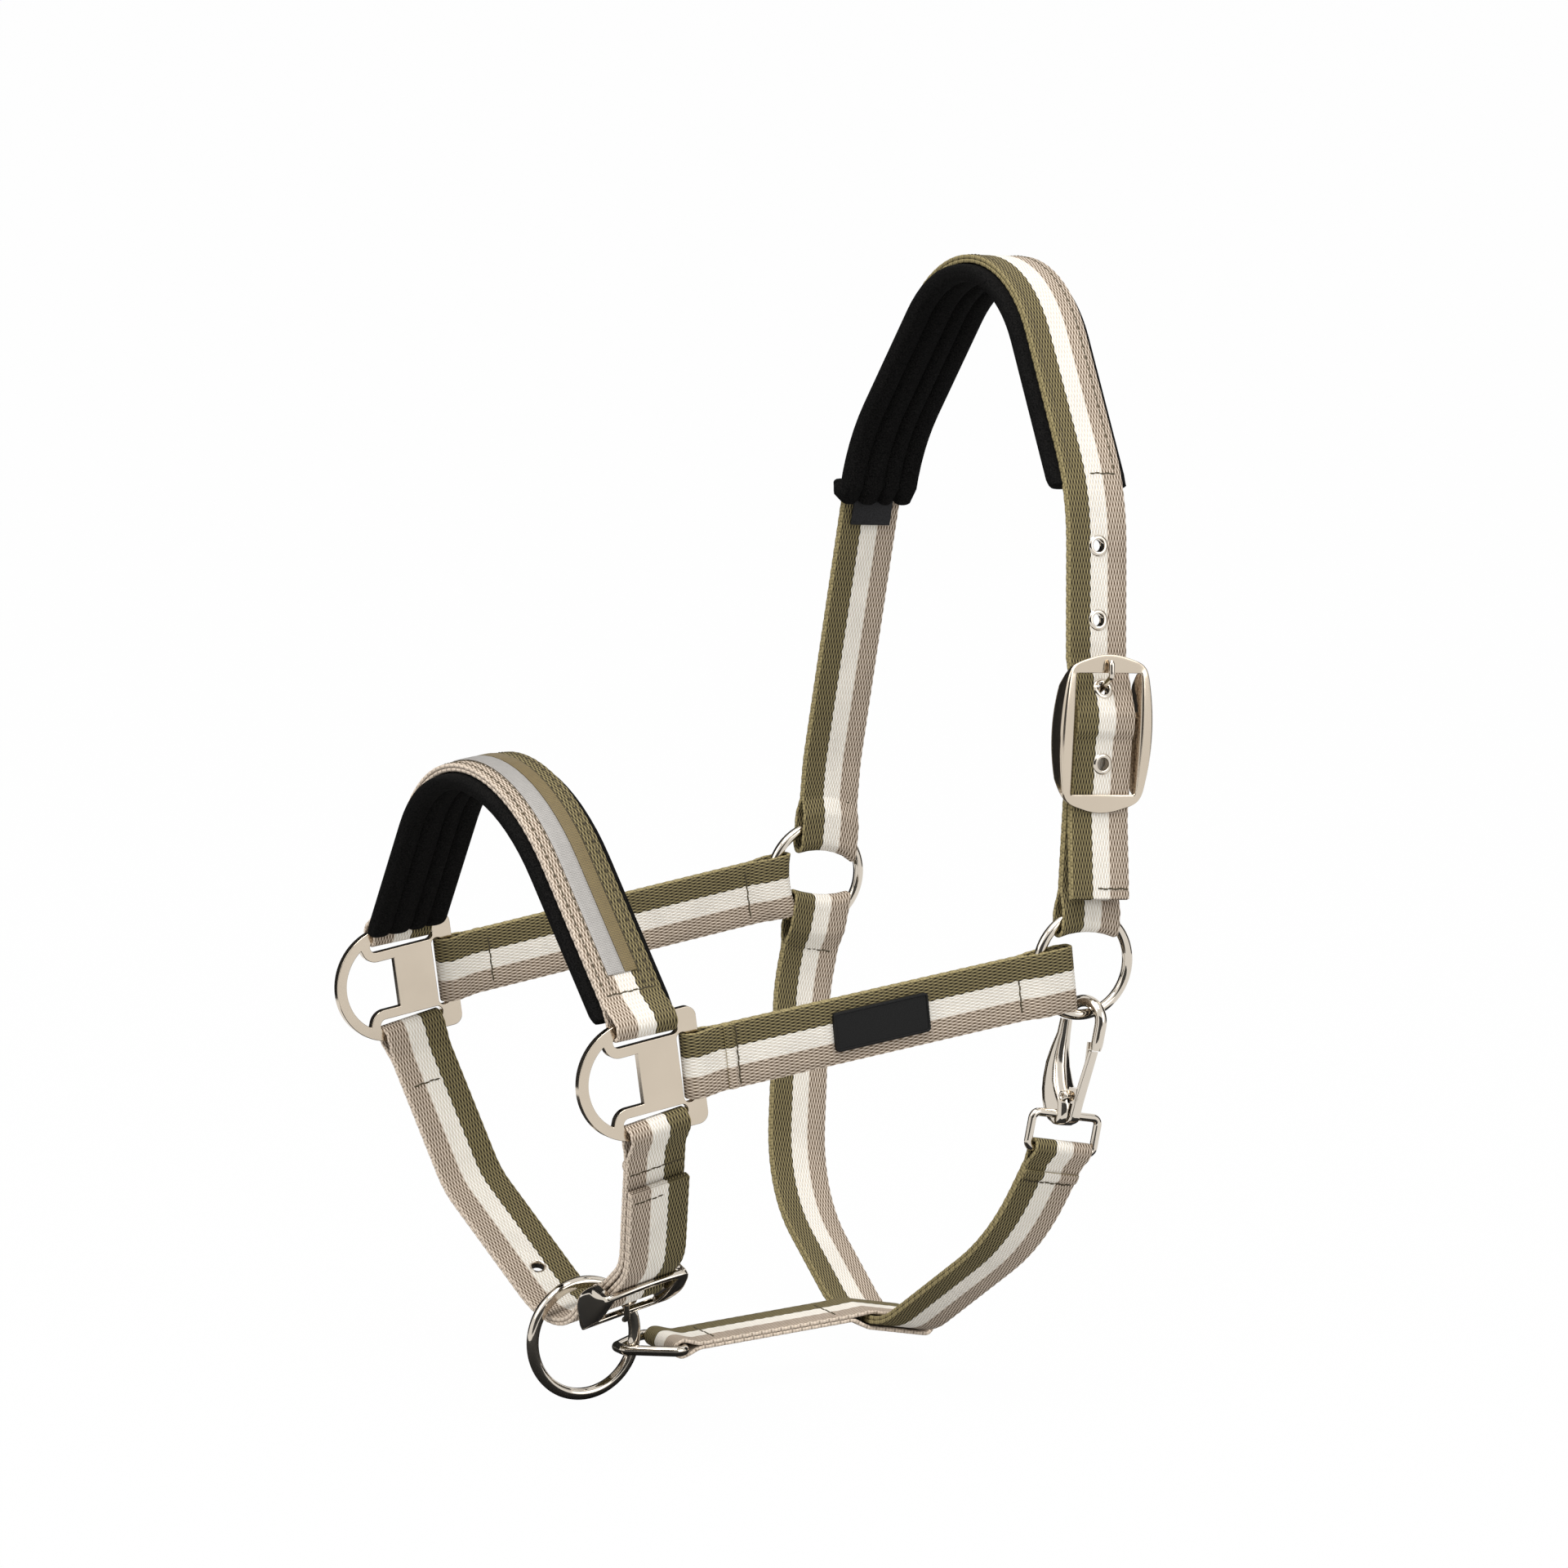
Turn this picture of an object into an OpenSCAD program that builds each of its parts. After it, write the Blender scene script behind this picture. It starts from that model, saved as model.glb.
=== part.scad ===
// Headcollar of striped woven webbing, seen as it hangs with its crown buckle and throat snap fastened.
// The horse faces -Y, its left (near) side is +X and +Z is up. The origin is the poll seat,
// the middle of the crown pad's underside.

/* [Webbing] */
// Width of the webbing
web_w = 25; // [23:0.5:26]
// Thickness of one layer of webbing; every strap is sewn from two
layer_t = 1.6; // [1.3:0.1:1.8]
// Gap between webbing and what lies against it
lay_gap = 0.3; // [0.2:0.05:0.4]
// Play of a bar or ring in its webbing loop
loop_gap = 0.35; // [0.3:0.05:0.6]
// Length of a loop's taper, as a multiple of its radius
loop_taper = 3; // [2.5:0.1:4]

/* [Crown] */
// Half the distance between the two cheeks
half_span = 102; // [95:1:115]
// How far the crown leans back
crown_lean = 5; // [0:0.5:10]
// Distance of the shoulder bends from the middle
shoulder_x = 84; // [78:1:90]
// Drop of the shoulder bends below the poll
shoulder_drop = 70; // [60:1:80]
// Height at which the two sloping legs would meet
crown_peak = 49; // [42:1:60]
// Bend radius at the shoulders
shoulder_r = 40; // [25:1:60]
// Drop of the cheek rings below the poll
ring_drop = 247; // [235:1:265]
// Thickness of the crown pad
crown_pad_t = 7.2; // [5:0.2:9]
// How far each pad stands out past the webbing's edges
pad_margin = 2.2; // [1:0.2:4]
// Drop of the crown pad's near end below the poll
crown_pad_near = 66; // [50:1:68]
// Drop of the crown pad's off end below the poll
crown_pad_off = 87; // [80:1:100]

/* [Cheek rings and straps] */
// Middle radius of a cheek ring
ring_r = 19.6; // [19.4:0.1:20.4]
// Wire diameter of a cheek ring
ring_wire = 4; // [3.6:0.1:4.2]
// How far the off ring sits ahead of its crown leg
off_ring_lead = 3.6; // [3.4:0.1:4]
// Length of the straight stretch where a strap leaves a cheek ring up or down
ring_leg = 26; // [22:1:32]
// Drop of the near cheek strap's line below its ring's centre
near_cheek_drop = 4; // [3.5:0.1:4.5]
// Drop of the off cheek strap's line below its ring's centre
off_cheek_drop = 1; // [0.5:0.1:1.5]
// Length of the bare badge on the near cheek strap
badge_len = 37; // [30:1:45]
// Height of the badge
badge_h = 13.5; // [10:0.5:16]
// Thickness of the badge
badge_t = 1.4; // [1:0.1:2]
// Distance of the badge's middle behind the near plate's rear bar
badge_at = 73; // [60:1:90]

/* [Side plates] */
// Y of the plates' centres
plate_y = -210.5; // [-216:0.5:-205]
// Z of the plates' centres
plate_z = -271; // [-276:0.5:-266]
// How far the plates pitch down at the front
plate_pitch = 8; // [5:0.5:10]
// Thickness of a plate
plate_t = 3; // [2.4:0.1:3.4]
// Height of a plate, which is also its D's diameter
plate_h = 45.2; // [44:0.2:48]
// Length from the D's straight side to the plate's rear edge
plate_body_l = 25.6; // [24:0.2:28]
// How far the D's centre lies ahead of its straight side
plate_d_lead = 3.3; // [2:0.1:5]
// Width of the D's rim
plate_rim = 4.7; // [4:0.1:5.2]
// Width of the bars that the straps loop round
plate_bar = 4.3; // [3.8:0.1:4.6]
// Width of the strap slots
plate_slot = 4.8; // [4.4:0.1:5]
// Corner radius of the plate
plate_corner = 4; // [2:0.5:6]

/* [Noseband] */
// Tilt of the noseband, top forward
nose_tilt = 6; // [3:0.5:9]
// Rise of the noseband's middle above the plates' top bars
nose_rise = 82; // [75:1:92]
// Height at which the two noseband legs would meet
nose_peak = 126; // [115:1:135]
// Thickness of the noseband pad
nose_pad_t = 6.6; // [5:0.2:8]
// Distance of the pad's ends above the top bars
nose_pad_clear = 9; // [7:0.5:14]
// Width of the reflective ribbon
ribbon_w = 9.4; // [7:0.2:11]
// Width of the trim strip beside the ribbon
trim_w = 3.8; // [3:0.2:5]
// Thickness of ribbon and trim
ribbon_t = 0.6; // [0.5:0.1:0.8]
// Height of the ribbon's ends above the top bars
ribbon_clear = 16; // [13:0.5:24]

/* [Chin strap and ring] */
// Tilt of the chin strap, bottom back
chin_tilt = 12; // [9:0.5:15]
// Distance of the chin strap's side bends from the middle
chin_bend_x = 74; // [70:1:78]
// Drop of the side bends below the plates' bottom bars
chin_bend_drop = 52; // [48:1:56]
// Depth at which the two lower legs would meet
chin_depth = 103; // [98:1:108]
// Bend radius under the jaw
chin_r = 42; // [36:1:44]
// Distance of the chin buckle's bar from the near side bend
chin_buckle_at = 34; // [32:1:36]
// Distance of the chin strap's tail end above the near side bend
chin_tail = 36; // [24:1:40]
// Middle radius of the chin ring
chin_ring_r = 21.9; // [21:0.1:24]
// Wire diameter of the chin ring
chin_ring_wire = 4.7; // [4:0.1:5]

/* [Buckles] */
// Radius of a buckle's centre bar
bar_r = 1.7; // [1.5:0.05:2]
// Running clearance of a tongue on its bar
tongue_play = 0.08; // [0.05:0.01:0.1]
// Thickness of a tongue
tongue_d = 2.4; // [2:0.1:2.6]
// Inner width of a buckle
buckle_in = 28.4; // [27:0.2:31]
// Width of a buckle's side walls
buckle_side = 7; // [5.5:0.1:8]
// Thickness of a buckle's end bars
buckle_bar_t = 3.6; // [3:0.1:4.2]
// Reach of the crown buckle's window to the tongue's end bar
crown_tip_in = 19; // [17:0.5:22]
// Reach of the crown buckle's window to the other end bar
crown_tail_in = 27; // [23:0.5:30]
// Width of the crown buckle's end bars
crown_end = 7; // [5:0.2:8]
// Corner radius of the crown buckle
crown_corner = 11; // [6:0.5:13]
// Reach of the chin buckle's window to the tongue's end bar
chin_tip_in = 13; // [12:0.5:15]
// Reach of the chin buckle's window to the other end bar
chin_tail_in = 15.6; // [15.2:0.2:17]
// Width of the chin buckle's end bars
chin_end = 4.2; // [3.6:0.2:5]
// Corner radius of the chin buckle
chin_corner = 5; // [3:0.5:7]
// Swell of a buckle's sides
buckle_bow = 2.6; // [2:0.1:3]
// Length of the buckle's chape, from the near ring's wire to the buckle's centre bar
chape_len = 70.4; // [66:0.2:76]
// Lean of the buckle's chape towards the head
chape_lean = 3; // [1:0.5:5]
// Length of the crown strap's tail below the centre bar
crown_tail = 62; // [50:1:64]
// Slope of a strap where the tongue passes through it
weave_slope = 50; // [46:1:52]
// Bend radius of a strap woven through a buckle
weave_r = 2.6; // [2.2:0.1:3]

/* [Eyelets] */
// Radius of an eyelet's hole
eyelet_r = 2.5; // [2.4:0.05:2.7]
// Wall of an eyelet's barrel
eyelet_wall = 0.5; // [0.4:0.05:0.6]
// Radius of an eyelet's front flange
eyelet_flange = 4.3; // [4:0.1:4.5]
// Thickness of an eyelet's flanges
flange_t = 0.5; // [0.3:0.05:0.6]
// How much smaller the back flange is
flange_step = 1; // [0.6:0.1:1.1]
// Spacing of the eyelets
eyelet_pitch = 28; // [24:1:32]
// Distance of the first free crown eyelet above the strap's dip behind the buckle
free_eyelet_at = 29.4; // [24:0.2:32]
// Distance of the crown tail's eyelet below the centre bar
tail_eyelet_at = 15.5; // [13:0.5:18]

/* [Jaw link and straps] */
// Depth of the triangular link between its base bar and its point
link_depth = 21; // [18:0.5:26]
// Length of the straight of the link's base bar
link_base = 26; // [25.5:0.5:30]
// Wire diameter of the link
link_wire = 4; // [3:0.1:4.4]
// Length of the link's blunt point
link_tip = 6.4; // [5.6:0.2:8]
// Play between the link's point and the chin ring
link_play = 1; // [0.8:0.1:1.4]
// Tilt of the throat strap, bottom forward
throat_tilt = 12; // [10:0.5:14]
// Turn of the throat strap about the vertical
throat_yaw = 1.5; // [1:0.25:2]
// Distance of the throat strap behind the off ring's centre
throat_set = 3.6; // [3.2:0.1:4]
// Distance of the throat strap's off bend from the off ring, across
throat_bend_x = 22; // [16:1:28]
// Drop of the off bend below the off ring's centre
throat_bend_drop = 124; // [116:1:130]
// Drop of the throat strap's lowest stretch below the off ring's centre
throat_drop = 158; // [152:1:164]
// Length of the throat strap's lowest stretch
throat_flat = 38; // [34:1:44]
// Height of the near bend above the lowest stretch
throat_near_rise = 47; // [40:1:54]
// Distance of the near bend from the snap's line, across
throat_near_in = 18; // [12:1:24]

/* [Snap] */
// Distance from the near ring's bottom wire to the snap's eye bar
snap_reach = 39; // [37:0.5:42]
// Radius of the snap's hook wire
hook_wire_r = 2.3; // [2:0.1:2.5]
// Middle radius of the hook
hook_r = 8; // [7.5:0.1:9]
// Inner width of the snap's eye
eye_w = 26.4; // [26:0.2:28]
// Inner height of the snap's eye
eye_h = 10.5; // [10:0.2:14]
// Wire diameter of the snap's eye
eye_wire = 3.2; // [2.8:0.1:3.4]
// Radius of the snap's rivet
rivet_r = 1.3; // [1.1:0.05:1.5]
// Thickness of the snap's base
base_t = 5; // [4.6:0.1:5.4]
// Thickness of the gate's sheet
gate_t = 1; // [0.8:0.05:1.2]
// Running clearance of the gate's cheeks and rivet
gate_play = 0.08; // [0.05:0.01:0.1]

/* [Hidden] */
$fn = 48;
arc_step = 7;
olive = "#4a4630";
cream = "#c9bba6";
nickel = "#cdc3b4";
black = "#1c1c1e";
silver = "#b9bbbd";
gold = "#7a6f4a";

web_t = 2 * layer_t;
web_half = web_w / 2;

// Plane geometry

function unit(v) = v / norm(v);
function left(v) = [-v[1], v[0]];
function turned(v, a) = [v[0] * cos(a) - v[1] * sin(a), v[0] * sin(a) + v[1] * cos(a)];
function heading(a) = [cos(a), sin(a)];
function bearing(v) = atan2(v[1], v[0]);
function flipped(list) = [for (i = [len(list) - 1 : -1 : 0]) list[i]];
function mirrored(list) = [for (p = flipped(list)) [-p[0], p[1]]];
function arc(centre, r, from, to) =
    let (n = max(2, ceil(abs(to - from) / arc_step)))
    [for (i = [0 : n]) centre + r * heading(from + (to - from) * i / n)];

// The rounded corner b of a route that comes from a and goes on to c
function corner(a, b, c, r) =
    let (
        into = unit(b - a),
        out = unit(c - b),
        bend = atan2(cross(into, out), into * out),
        side = bend < 0 ? -1 : 1,
        start = b - r * tan(abs(bend) / 2) * into,
        centre = start + side * r * left(into),
        first = bearing(start - centre)
    )
    abs(bend) < 0.01 ? [b] : arc(centre, r, first, first + bend);

// A route along straight legs between points, with a bend radius for each inner point
function route(p, r) = [
    p[0],
    for (i = [1 : len(p) - 2]) each corner(p[i - 1], p[i], p[i + 1], r[i - 1]),
    p[len(p) - 1]
];

// A route moved sideways, to its left when d is positive
function beside(p, d) =
    let (last = len(p) - 1)
    [for (i = [0 : last]) p[i] + d * left(unit(p[min(i + 1, last)] - p[max(i - 1, 0)]))];

// Where an outline corner lies when both its legs move left by d
function moved_corner(a, b, c, d) =
    let (m = left(unit(b - a)), n = left(unit(c - b)))
    b + d * (m + n) / (1 + m * n);

// Flat band along a route, between two sideways distances
module band(p, inner, outer) polygon(concat(beside(p, inner), flipped(beside(p, outer))));

// Webbing loops. A loop is round a bar at the origin, and its strap leaves along +Y.
// The slack lets a curved ring through and runs towards -Y.

taper_angle = asin(1 / loop_taper);
function taper_tip(r) = loop_taper * r;
function taper_end(r) = taper_tip(r) + layer_t * tan(taper_angle / 2);
function loop_side(r, slack) = concat(arc([0, 0], r, taper_angle, 0), arc([0, -slack], r, 0, -90));
function loop_out(r, slack) =
    let (s = loop_side(r + layer_t, slack), e = [layer_t, taper_end(r)])
    concat([e], s, mirrored([e, each s]));
function loop_hole(r, slack) = let (s = loop_side(r, slack)) concat([[0, taper_tip(r)]], s, mirrored(s));
function placed(list, at, towards) = [for (p = list) at + turned(p, bearing(towards) - 90)];

// Ends of a strap: a loop is [bar or wire radius, slack], and a plain end is []
function loop_r(loop) = loop[0] + loop_gap;
function end_outline(loop, at, towards) =
    len(loop) == 0 ? [] : placed(loop_out(loop_r(loop), loop[1]), at, towards);
function end_reach(loop) = len(loop) == 0 ? 0 : taper_end(loop_r(loop));

// Side view of a strap along points p with bend radii r, with a loop or a plain end at each end
module strap_profile(p, r, first, last) {
    n = len(p) - 1;
    start = unit(p[1] - p[0]);
    finish = unit(p[n - 1] - p[n]);
    inner = [for (i = [1 : 1 : n - 1]) p[i]];
    way = route(concat([p[0] + end_reach(first) * start], inner, [p[n] + end_reach(last) * finish]), r);
    difference() {
        polygon(concat(end_outline(first, p[0], start), beside(way, layer_t),
            end_outline(last, p[n], finish), flipped(beside(way, -layer_t))));
        if (len(first) > 0) polygon(placed(loop_hole(loop_r(first), first[1]), p[0], start));
        if (len(last) > 0) polygon(placed(loop_hole(loop_r(last), last[1]), p[n], finish));
    }
}

module strap(p, r, first, last) linear_extrude(web_w, center = true) strap_profile(p, r, first, last);

// Stands a drawing on a plane that holds the X axis and leans forward by tilt at its top
module stand(at, tilt, yaw = 0) translate(at) rotate([0, 0, yaw]) rotate([90 + tilt, 0, 0]) children();

// Loop round a cheek ring when its strap runs off the ring's centre by some distance, with extra side room
ring_in = ring_r - ring_wire / 2;
function ring_slack(off) = ring_in - sqrt(ring_in * ring_in - pow(abs(off) + web_half, 2)) + lay_gap;
function ring_loop(off, ease) = [ring_wire / 2 + ease, ring_slack(off)];
bar_slack = 0.5;

// Crown layout, in the crown's own plane with the poll at [0, 0]

near_ring_at = [half_span, -ring_drop];
off_ring_at = [-half_span, -ring_drop];
near_shoulder = [shoulder_x, -shoulder_drop];
off_shoulder = [-shoulder_x, -shoulder_drop];
crown_top = [0, crown_peak];
crown_slope = atan2(crown_peak + shoulder_drop, shoulder_x);
crown_mid = crown_pad_t + lay_gap + layer_t;
crown_r = (crown_peak - crown_mid) / (1 / cos(crown_slope) - 1);
off_eye_at = off_ring_at + [0, ring_r];
off_leg_start = off_eye_at + [0, ring_leg];
off_leg_dir = unit(off_shoulder - off_leg_start);
leg_r = 60;
module crown_plane() stand([0, 0, 0], -crown_lean) children();

function in_crown(p, ahead = 0) =
    [p[0],
     p[1] * sin(crown_lean) - ahead * cos(crown_lean),
     p[1] * cos(crown_lean) + ahead * sin(crown_lean)];
near_ring_c = in_crown(near_ring_at);
off_ring_c = in_crown(off_ring_at, off_ring_lead);

// Buckles. In a buckle's own side view the centre bar is at [0, 0], the tongue points along +X
// and +Y is outwards.

wrap_r = bar_r + loop_gap + layer_t;
over_y = wrap_r + lay_gap + layer_t;
under_y = -2.2;
tail_y = web_t + lay_gap + flange_t;
bar_back_y = tail_y + layer_t + lay_gap;
bar_front_y = bar_back_y + buckle_bar_t;
crest_y = bar_front_y + 0.6;
dome = 2;
over_x = 3.2;
dip_x = over_x + (over_y - under_y) / tan(weave_slope);
tail_x = wrap_r + 2;
weave = [[dip_x, under_y], [over_x, over_y], [-over_x, over_y], [-tail_x, tail_y]];
weave_bends = [weave_r, weave_r, weave_r, weave_r];

// A buckle's sizes are [reach to the tongue's end bar, reach to the other, width of both, corner radius]
crown_size = [crown_tip_in, crown_tail_in, crown_end, crown_corner];
chin_size = [chin_tip_in, chin_tail_in, chin_end, chin_corner];
function buckle_mid(size) = (size[0] - size[1]) / 2;
function buckle_half(size) = (size[0] + size[1]) / 2 + size[2];

// Where the tongue lies on its end bar, and where it crosses the sloping strap
function over_bar(size, x) =
    [x, crest_y - dome * pow((x - buckle_mid(size)) / buckle_half(size), 2) + tongue_d / 2 + lay_gap];
function tongue_knee(size) = over_bar(size, size[0]) - [tongue_d / 2, 0];
function tongue_tip(size) = over_bar(size, size[0] + size[2] * 0.8);
function eyelet_spot(size) =
    let (knee = tongue_knee(size), fall = tan(weave_slope), rise = knee[1] / knee[0])
    (over_y + over_x * fall) / (rise + fall) * [1, rise];

// A point of a buckle's side view, seen in the plane of its strap
function buckle_point(frame, q) = frame[0] + q[0] * frame[1] + q[1] * frame[2];

chape_dir = heading(90 + chape_lean);
chape_at = near_ring_at + [0, ring_r];
crown_frame = [chape_at + chape_len * chape_dir, chape_dir, -left(chape_dir)];
crown_points = concat([off_eye_at, off_leg_start, off_shoulder, crown_top, near_shoulder],
    [for (q = weave) buckle_point(crown_frame, q)], [buckle_point(crown_frame, [-crown_tail, tail_y])]);
crown_bends = concat([leg_r, shoulder_r, crown_r, shoulder_r], weave_bends);

// Puts a buckle's own space into the plane of its strap: X along the tongue, Y outwards, Z across
module at_buckle(frame) {
    a = bearing(frame[1]);
    over = cross(frame[1], frame[2]) > 0 ? 0 : 180;
    translate([frame[0][0], frame[0][1], 0]) rotate([0, 0, a]) rotate([over, 0, 0]) children();
}

// Domed frame with deep side walls, two end bars in front of the strap and a centre bar behind it
module buckle_frame(size) {
    half_l = buckle_half(size);
    half_w = buckle_in / 2 + buckle_side;
    dome_r = (half_l * half_l + dome * dome) / (2 * dome);
    floor_y = -bar_r - bar_slack;
    keel = bar_back_y - floor_y;
    keel_r = (half_l * half_l + keel * keel) / (2 * keel);
    passage = buckle_in - lay_gap;
    translate([buckle_mid(size), 0, 0]) difference() {
        intersection() {
            rotate([-90, 0, 0]) linear_extrude(4 * crest_y, center = true)
                barrel_outline(half_l, half_w, size[3]);
            translate([0, crest_y - dome_r, 0])
                cylinder(h = 4 * half_w, r = dome_r, center = true, $fn = 180);
            translate([0, keel_r + floor_y, 0])
                cylinder(h = 4 * half_w, r = keel_r, center = true, $fn = 180);
        }
        rotate([-90, 0, 0]) linear_extrude(6 * crest_y, center = true)
            rounded_box(size[0] + size[1], buckle_in, window_corner);
        translate([-2 * half_l, bar_back_y - 4 * crest_y, -passage / 2])
            cube([4 * half_l, 4 * crest_y, passage]);
    }
    cylinder(h = buckle_in + buckle_side, r = bar_r, center = true);
}
window_corner = 3;

// Outline with straight ends, rounded corners and sides that bow outwards
module barrel_outline(half_l, half_w, corner_r) {
    side_r = (half_l * half_l + buckle_bow * buckle_bow) / (2 * buckle_bow);
    swing = asin((half_l - corner_r) / side_r);
    edge = side_r * cos(swing) - side_r + half_w;
    side = arc([0, half_w - side_r], side_r, 90 - swing, 90 + swing);
    left_corner = arc([corner_r - half_l, edge - corner_r], corner_r, 90 + swing, 180);
    right_corner = arc([half_l - corner_r, edge - corner_r], corner_r, 0, 90 - swing);
    upper = concat(right_corner, side, left_corner);
    polygon(concat(upper, [for (p = upper) -p]));
}

module rounded_box(l, w, r) {
    square([l - 2 * r, w], center = true);
    square([l, w - 2 * r], center = true);
    for (x = [-1, 1], y = [-1, 1]) translate([x * (l / 2 - r), y * (w / 2 - r)]) circle(r);
}

// Tongue of flat bar, bent down on its end bar, with its eye round the centre bar
tongue_eye_r = wrap_r - 0.1;
tongue_bend = 2;
module tongue(size) difference() {
    way = route([[0, 0], tongue_knee(size), tongue_tip(size)], [tongue_bend]);
    union() {
        cylinder(h = tongue_d + 0.5, r = tongue_eye_r, center = true);
        linear_extrude(tongue_d, center = true) band(way, -tongue_d / 2, tongue_d / 2);
    }
    cylinder(h = 2 * tongue_d, r = bar_r + tongue_play, center = true);
}

// Slot in a chape's fold that lets the tongue out
module tongue_slot() translate([-wrap_r - 1, -wrap_r - 1, -tongue_d])
    cube([3 * wrap_r, 2 * wrap_r + 2, 2 * tongue_d]);

// Eyelet through a strap that lies across +Y at the origin, and the hole for it
module eyelet() rotate([-90, 0, 0]) difference() {
    union() {
        cylinder(h = web_t + 2 * flange_t, r = eyelet_r + eyelet_wall, center = true);
        translate([0, 0, web_t / 2]) cylinder(h = flange_t, r = eyelet_flange);
        translate([0, 0, -web_t / 2 - flange_t]) cylinder(h = flange_t, r = eyelet_flange - flange_step);
    }
    cylinder(h = 2 * web_t, r = eyelet_r, center = true);
}
module eyelet_hole() rotate([-90, 0, 0]) cylinder(h = 2 * web_t, r = eyelet_r + eyelet_wall, center = true);

// Places eyelets at points of a plane, each with its outward direction
module at_eyelets(spots) for (s = spots)
    translate([s[0][0], s[0][1], 0]) rotate([0, 0, bearing(s[1]) - 90]) children();

near_leg = unit(buckle_point(crown_frame, weave[0]) - near_shoulder);
crown_sloped = unit(buckle_point(crown_frame, weave[0]) - buckle_point(crown_frame, weave[1]));
crown_fastened = buckle_point(crown_frame, eyelet_spot(crown_size));
crown_tail_hole = buckle_point(crown_frame, [-tail_eyelet_at, tail_y]);
crown_spots = concat([[crown_fastened, -left(crown_sloped)], [crown_tail_hole, crown_frame[2]]],
    [for (i = [0, 1])
        [buckle_point(crown_frame, weave[0]) - (free_eyelet_at + eyelet_pitch * i) * near_leg,
         left(near_leg)]]);

module crown_strap() color(olive) crown_plane() difference() {
    strap(crown_points, crown_bends, ring_loop(off_ring_lead, 0.2), []);
    at_eyelets(crown_spots) eyelet_hole();
}

module crown_eyelets() color(nickel) crown_plane() at_eyelets(crown_spots) eyelet();

module crown_pad() color(black) crown_plane() {
    off_end = off_shoulder - (crown_pad_off - shoulder_drop) / off_leg_dir[1] * off_leg_dir;
    slope_dir = unit(near_shoulder - crown_top);
    near_end = near_shoulder + (shoulder_drop - crown_pad_near) / -slope_dir[1] * -slope_dir;
    way = route([off_end, off_shoulder, crown_top, near_end], [shoulder_r, crown_r]);
    linear_extrude(web_w + 2 * pad_margin, center = true)
        band(way, -layer_t - lay_gap - crown_pad_t, -layer_t - lay_gap);
}

label_l = 14;
label_w = 16;
label_t = 1;
module crown_label() color(black) crown_plane() {
    at = off_shoulder - (crown_pad_off - shoulder_drop + label_l) / off_leg_dir[1] * off_leg_dir;
    translate([at[0], at[1], 0]) rotate([0, 0, bearing(off_leg_dir)])
        translate([0, -layer_t - lay_gap - label_t, -label_w / 2])
            cube([label_l - lay_gap, label_t, label_w]);
}

module buckle_chape() color(olive) crown_plane() difference() {
    chape_ease = ring_slack(0) * sin(chape_lean);
    strap([chape_at, crown_frame[0]], [], ring_loop(0, chape_ease), [bar_r, bar_slack / 5]);
    at_buckle(crown_frame) tongue_slot();
}

module crown_buckle() color(nickel) crown_plane() at_buckle(crown_frame) buckle_frame(crown_size);
module crown_tongue() color(nickel) crown_plane() at_buckle(crown_frame) tongue(crown_size);

// Rings

module wire_ring(r, wire) rotate([0, 90, 0]) rotate_extrude($fn = 96) translate([r, 0]) circle(wire / 2);
module near_ring() color(nickel) translate(near_ring_c) wire_ring(ring_r, ring_wire);
module off_ring() color(nickel) translate(off_ring_c) wire_ring(ring_r, ring_wire);

// Side plates. In a plate's own drawing +X is backwards, +Y is up and the D's straight side is at X 0.

plate_bar_v = plate_h / 2 - plate_bar / 2;
slot_v = plate_h / 2 - plate_bar - plate_slot / 2;
slot_l = web_w + 2;
slot_u = plate_body_l - plate_bar - plate_slot - slot_l / 2 + 1;
rear_bar_u = plate_body_l - plate_bar / 2;
rear_slot_u = plate_body_l - plate_bar - plate_slot / 2;
slot_wall = plate_bar;
function on_plate(q) = [plate_y, plate_z] + turned(q, plate_pitch);
top_bar_c = on_plate([slot_u, plate_bar_v]);
bottom_bar_c = on_plate([slot_u, -plate_bar_v]);
rear_bar_c = on_plate([rear_bar_u, 0]);

module pill(l, w) {
    square([l - w, w], center = true);
    for (x = [-1, 1]) translate([x * (l - w) / 2, 0]) circle(w / 2);
}

module plate_outline() {
    body_l = plate_body_l + plate_d_lead;
    difference() {
        union() {
            translate([-plate_d_lead, 0]) circle(plate_h / 2, $fn = 96);
            translate([plate_body_l - body_l / 2, 0]) rounded_box(body_l, plate_h, plate_corner);
            translate([-plate_d_lead, -plate_h / 2]) square([body_l / 2, plate_h]);
        }
        difference() {
            intersection() {
                translate([-plate_d_lead, 0]) circle(plate_h / 2 - plate_rim, $fn = 96);
                translate([-plate_h, -plate_h]) square([plate_h, 2 * plate_h]);
            }
            for (y = [-1, 1]) translate([slot_u, y * slot_v])
                pill(slot_l + 2 * slot_wall - 1, plate_slot + 2 * slot_wall - 1);
        }
        for (y = [-1, 1]) translate([slot_u, y * slot_v]) pill(slot_l, plate_slot);
        translate([rear_slot_u, 0]) rotate(90) pill(slot_l, plate_slot);
    }
}

module side_plate(side) color(nickel) translate([side * half_span, plate_y, plate_z])
    rotate([plate_pitch, 0, 0]) rotate([90, 0, 90]) linear_extrude(plate_t, center = true) plate_outline();
module near_plate() side_plate(1);
module off_plate() side_plate(-1);
plate_loop = [norm([plate_bar, plate_t]) / 2 + 0.2, bar_slack];

// Cheek straps run in the cheek's plane. Their drawing has +X outwards and +Y backwards along the strap.

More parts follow.
